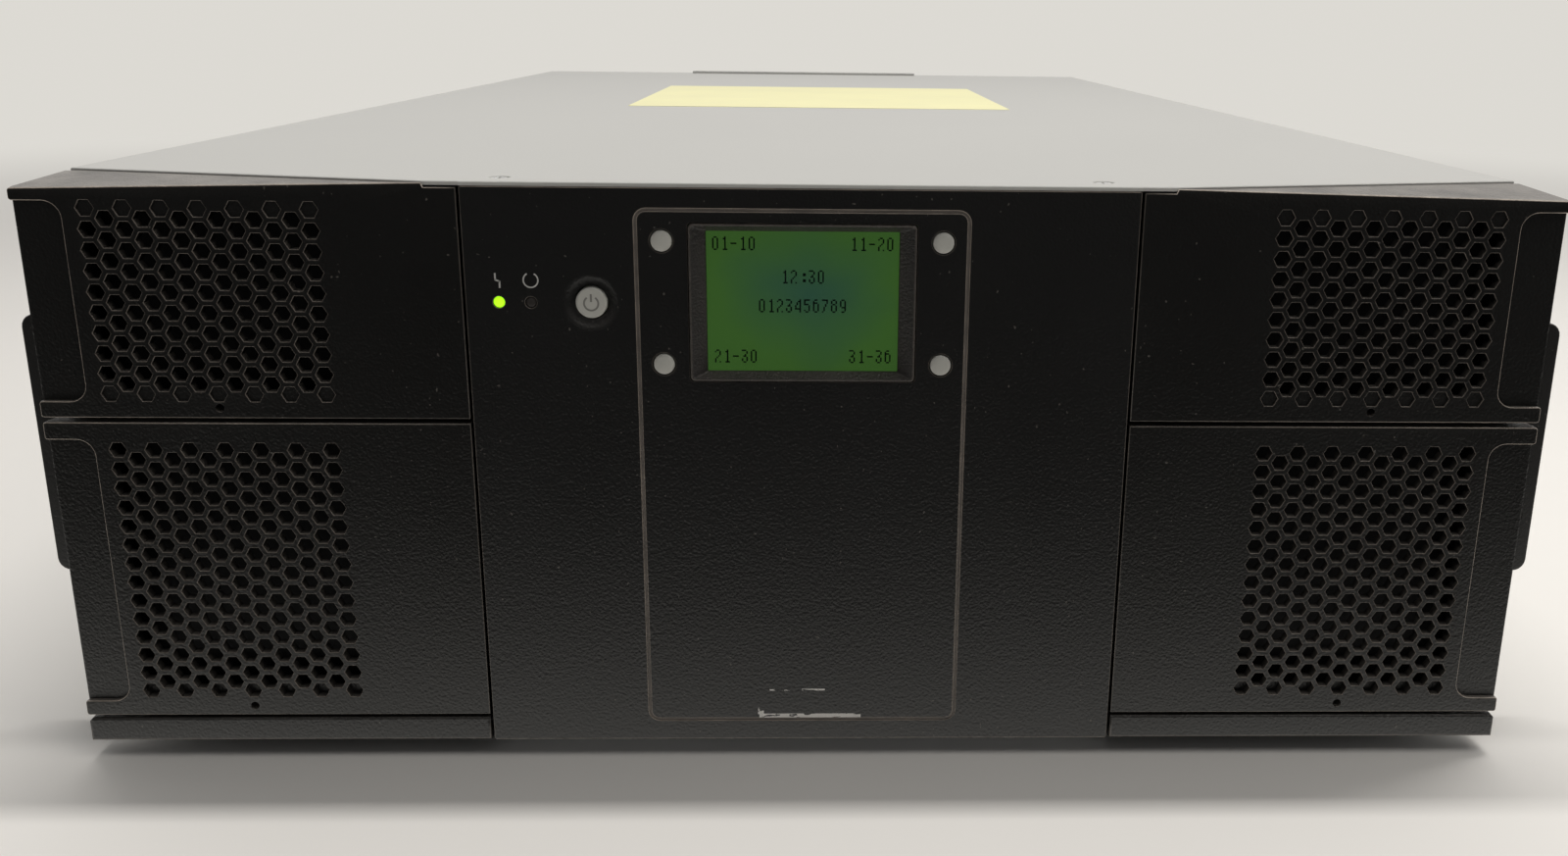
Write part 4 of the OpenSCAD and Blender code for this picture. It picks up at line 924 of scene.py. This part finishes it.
# ---- studio ----
# A pale table under three soft lamps. Mirrored rays alone see a painted glow on the strip in front of the
# library, from bright at the front's foot to dim 170 mm before it; the black front shows that ramp as a
# painted reflection.
scene = bpy.context.scene
scene.view_settings.view_transform = "Standard"
room_pale = (0.72, 0.70, 0.655, 1)
painted_glow_end, dim, bright = front_y - 0.17, 0.06, 1.7
bpy.ops.mesh.primitive_plane_add(size=16, location=(0, 0, 0))
table = bpy.context.object
table.name = "table"
table_white = finish_of("table", (0.84, 0.825, 0.80), 0.7, 0.0, (500, 0.02), Specular_IOR_Level=0.1)
tree = table_white.node_tree
on_table = add_node(tree, "TexCoord").outputs["Object"]
seen = add_node(tree, "LightPath").outputs
forward = add_node(tree, "SeparateXYZ", [(0, on_table)]).outputs["Y"]
# Painted glow seen only by mirrored rays, a painted reflection on the black front: bright at the front's
# foot, dim 170 mm before it.
painted_glow = add_node(tree, "MapRange", [
    ("Value", forward), ("From Min", painted_glow_end), ("From Max", front_y), ("To Min", dim), ("To Max", bright)])
near_side = maths(tree, "MULTIPLY", maths(tree, "LESS_THAN", forward, front_y), seen["Is Glossy Ray"])
painted_reflection = add_node(tree, "Emission", [("Color", room_pale), ("Strength", painted_glow.outputs[0])])
table_and_painted_reflection = add_node(tree, "MixShader", [
    (0, near_side), (1, tree.nodes["Principled BSDF"].outputs[0]), (2, painted_reflection.outputs[0])])
far_off = add_node(tree, "VectorMath", [(0, on_table)], operation="LENGTH").outputs["Value"]
far_off = add_node(tree, "MapRange", [("Value", far_off), ("From Min", 0.9), ("From Max", 2.2)],
                   interpolation_type="SMOOTHSTEP").outputs[0]
backdrop = add_node(tree, "Emission", [("Color", room_pale), ("Strength", 1.0)])
blend = add_node(tree, "MixShader", [(0, maths(tree, "MULTIPLY", far_off, seen["Is Camera Ray"])),
                                               (1, table_and_painted_reflection.outputs[0]), (2, backdrop.outputs[0])])
tree.links.new(blend.outputs[0], tree.nodes["Material Output"].inputs["Surface"])
table.data.materials.append(table_white)

world = bpy.data.worlds.new("room")
scene.world = world
world.use_nodes = True
tree = world.node_tree
towards = add_node(tree, "TexCoord").outputs["Generated"]
towards = add_node(tree, "SeparateXYZ", [(0, towards)])
depth = add_node(tree, "MapRange", [("Value", towards.outputs["Y"]), ("From Min", -0.15),
                                              ("From Max", 0.75)], interpolation_type="SMOOTHSTEP").outputs[0]
room = mixed(tree, depth, (0.10, 0.10, 0.10, 1), (0.95, 0.93, 0.90, 1))
room = mixed(tree, add_node(tree, "LightPath").outputs["Is Camera Ray"], room, room_pale)
tree.links.new(room, tree.nodes["Background"].inputs["Color"])
tree.nodes["Background"].inputs["Strength"].default_value = 1.0


def softbox(place, aim_at, size, power, tint=(1, 1, 1)):
    """An area lamp at place that looks at aim_at; size is its width and its depth."""
    lamp = bpy.data.lights.new("softbox", "AREA")
    lamp.shape = "RECTANGLE"
    lamp.size, lamp.size_y = size
    lamp.energy = power
    lamp.color = tint
    holder = bpy.data.objects.new("softbox", lamp)
    scene.collection.objects.link(holder)
    turn = (Vector(place) - Vector(aim_at)).to_track_quat("Z", "Y")
    holder.matrix_world = Matrix.Translation(place) @ turn.to_matrix().to_4x4()


softbox((0.2, front_y + 0.27, 1.7), (0.2, front_y + 0.27, 0), (1.3, 0.10), 17.5, (1, 0.97, 0.93))
softbox((0.95, -0.75, 1.4), (0.25, -0.5, 0), (0.9, 0.9), 5.5, (1, 0.96, 0.90))
softbox((0.0, -1.0, 1.5), (0, -0.45, 0.1), (1.2, 0.6), 1.5, (1, 0.98, 0.96))
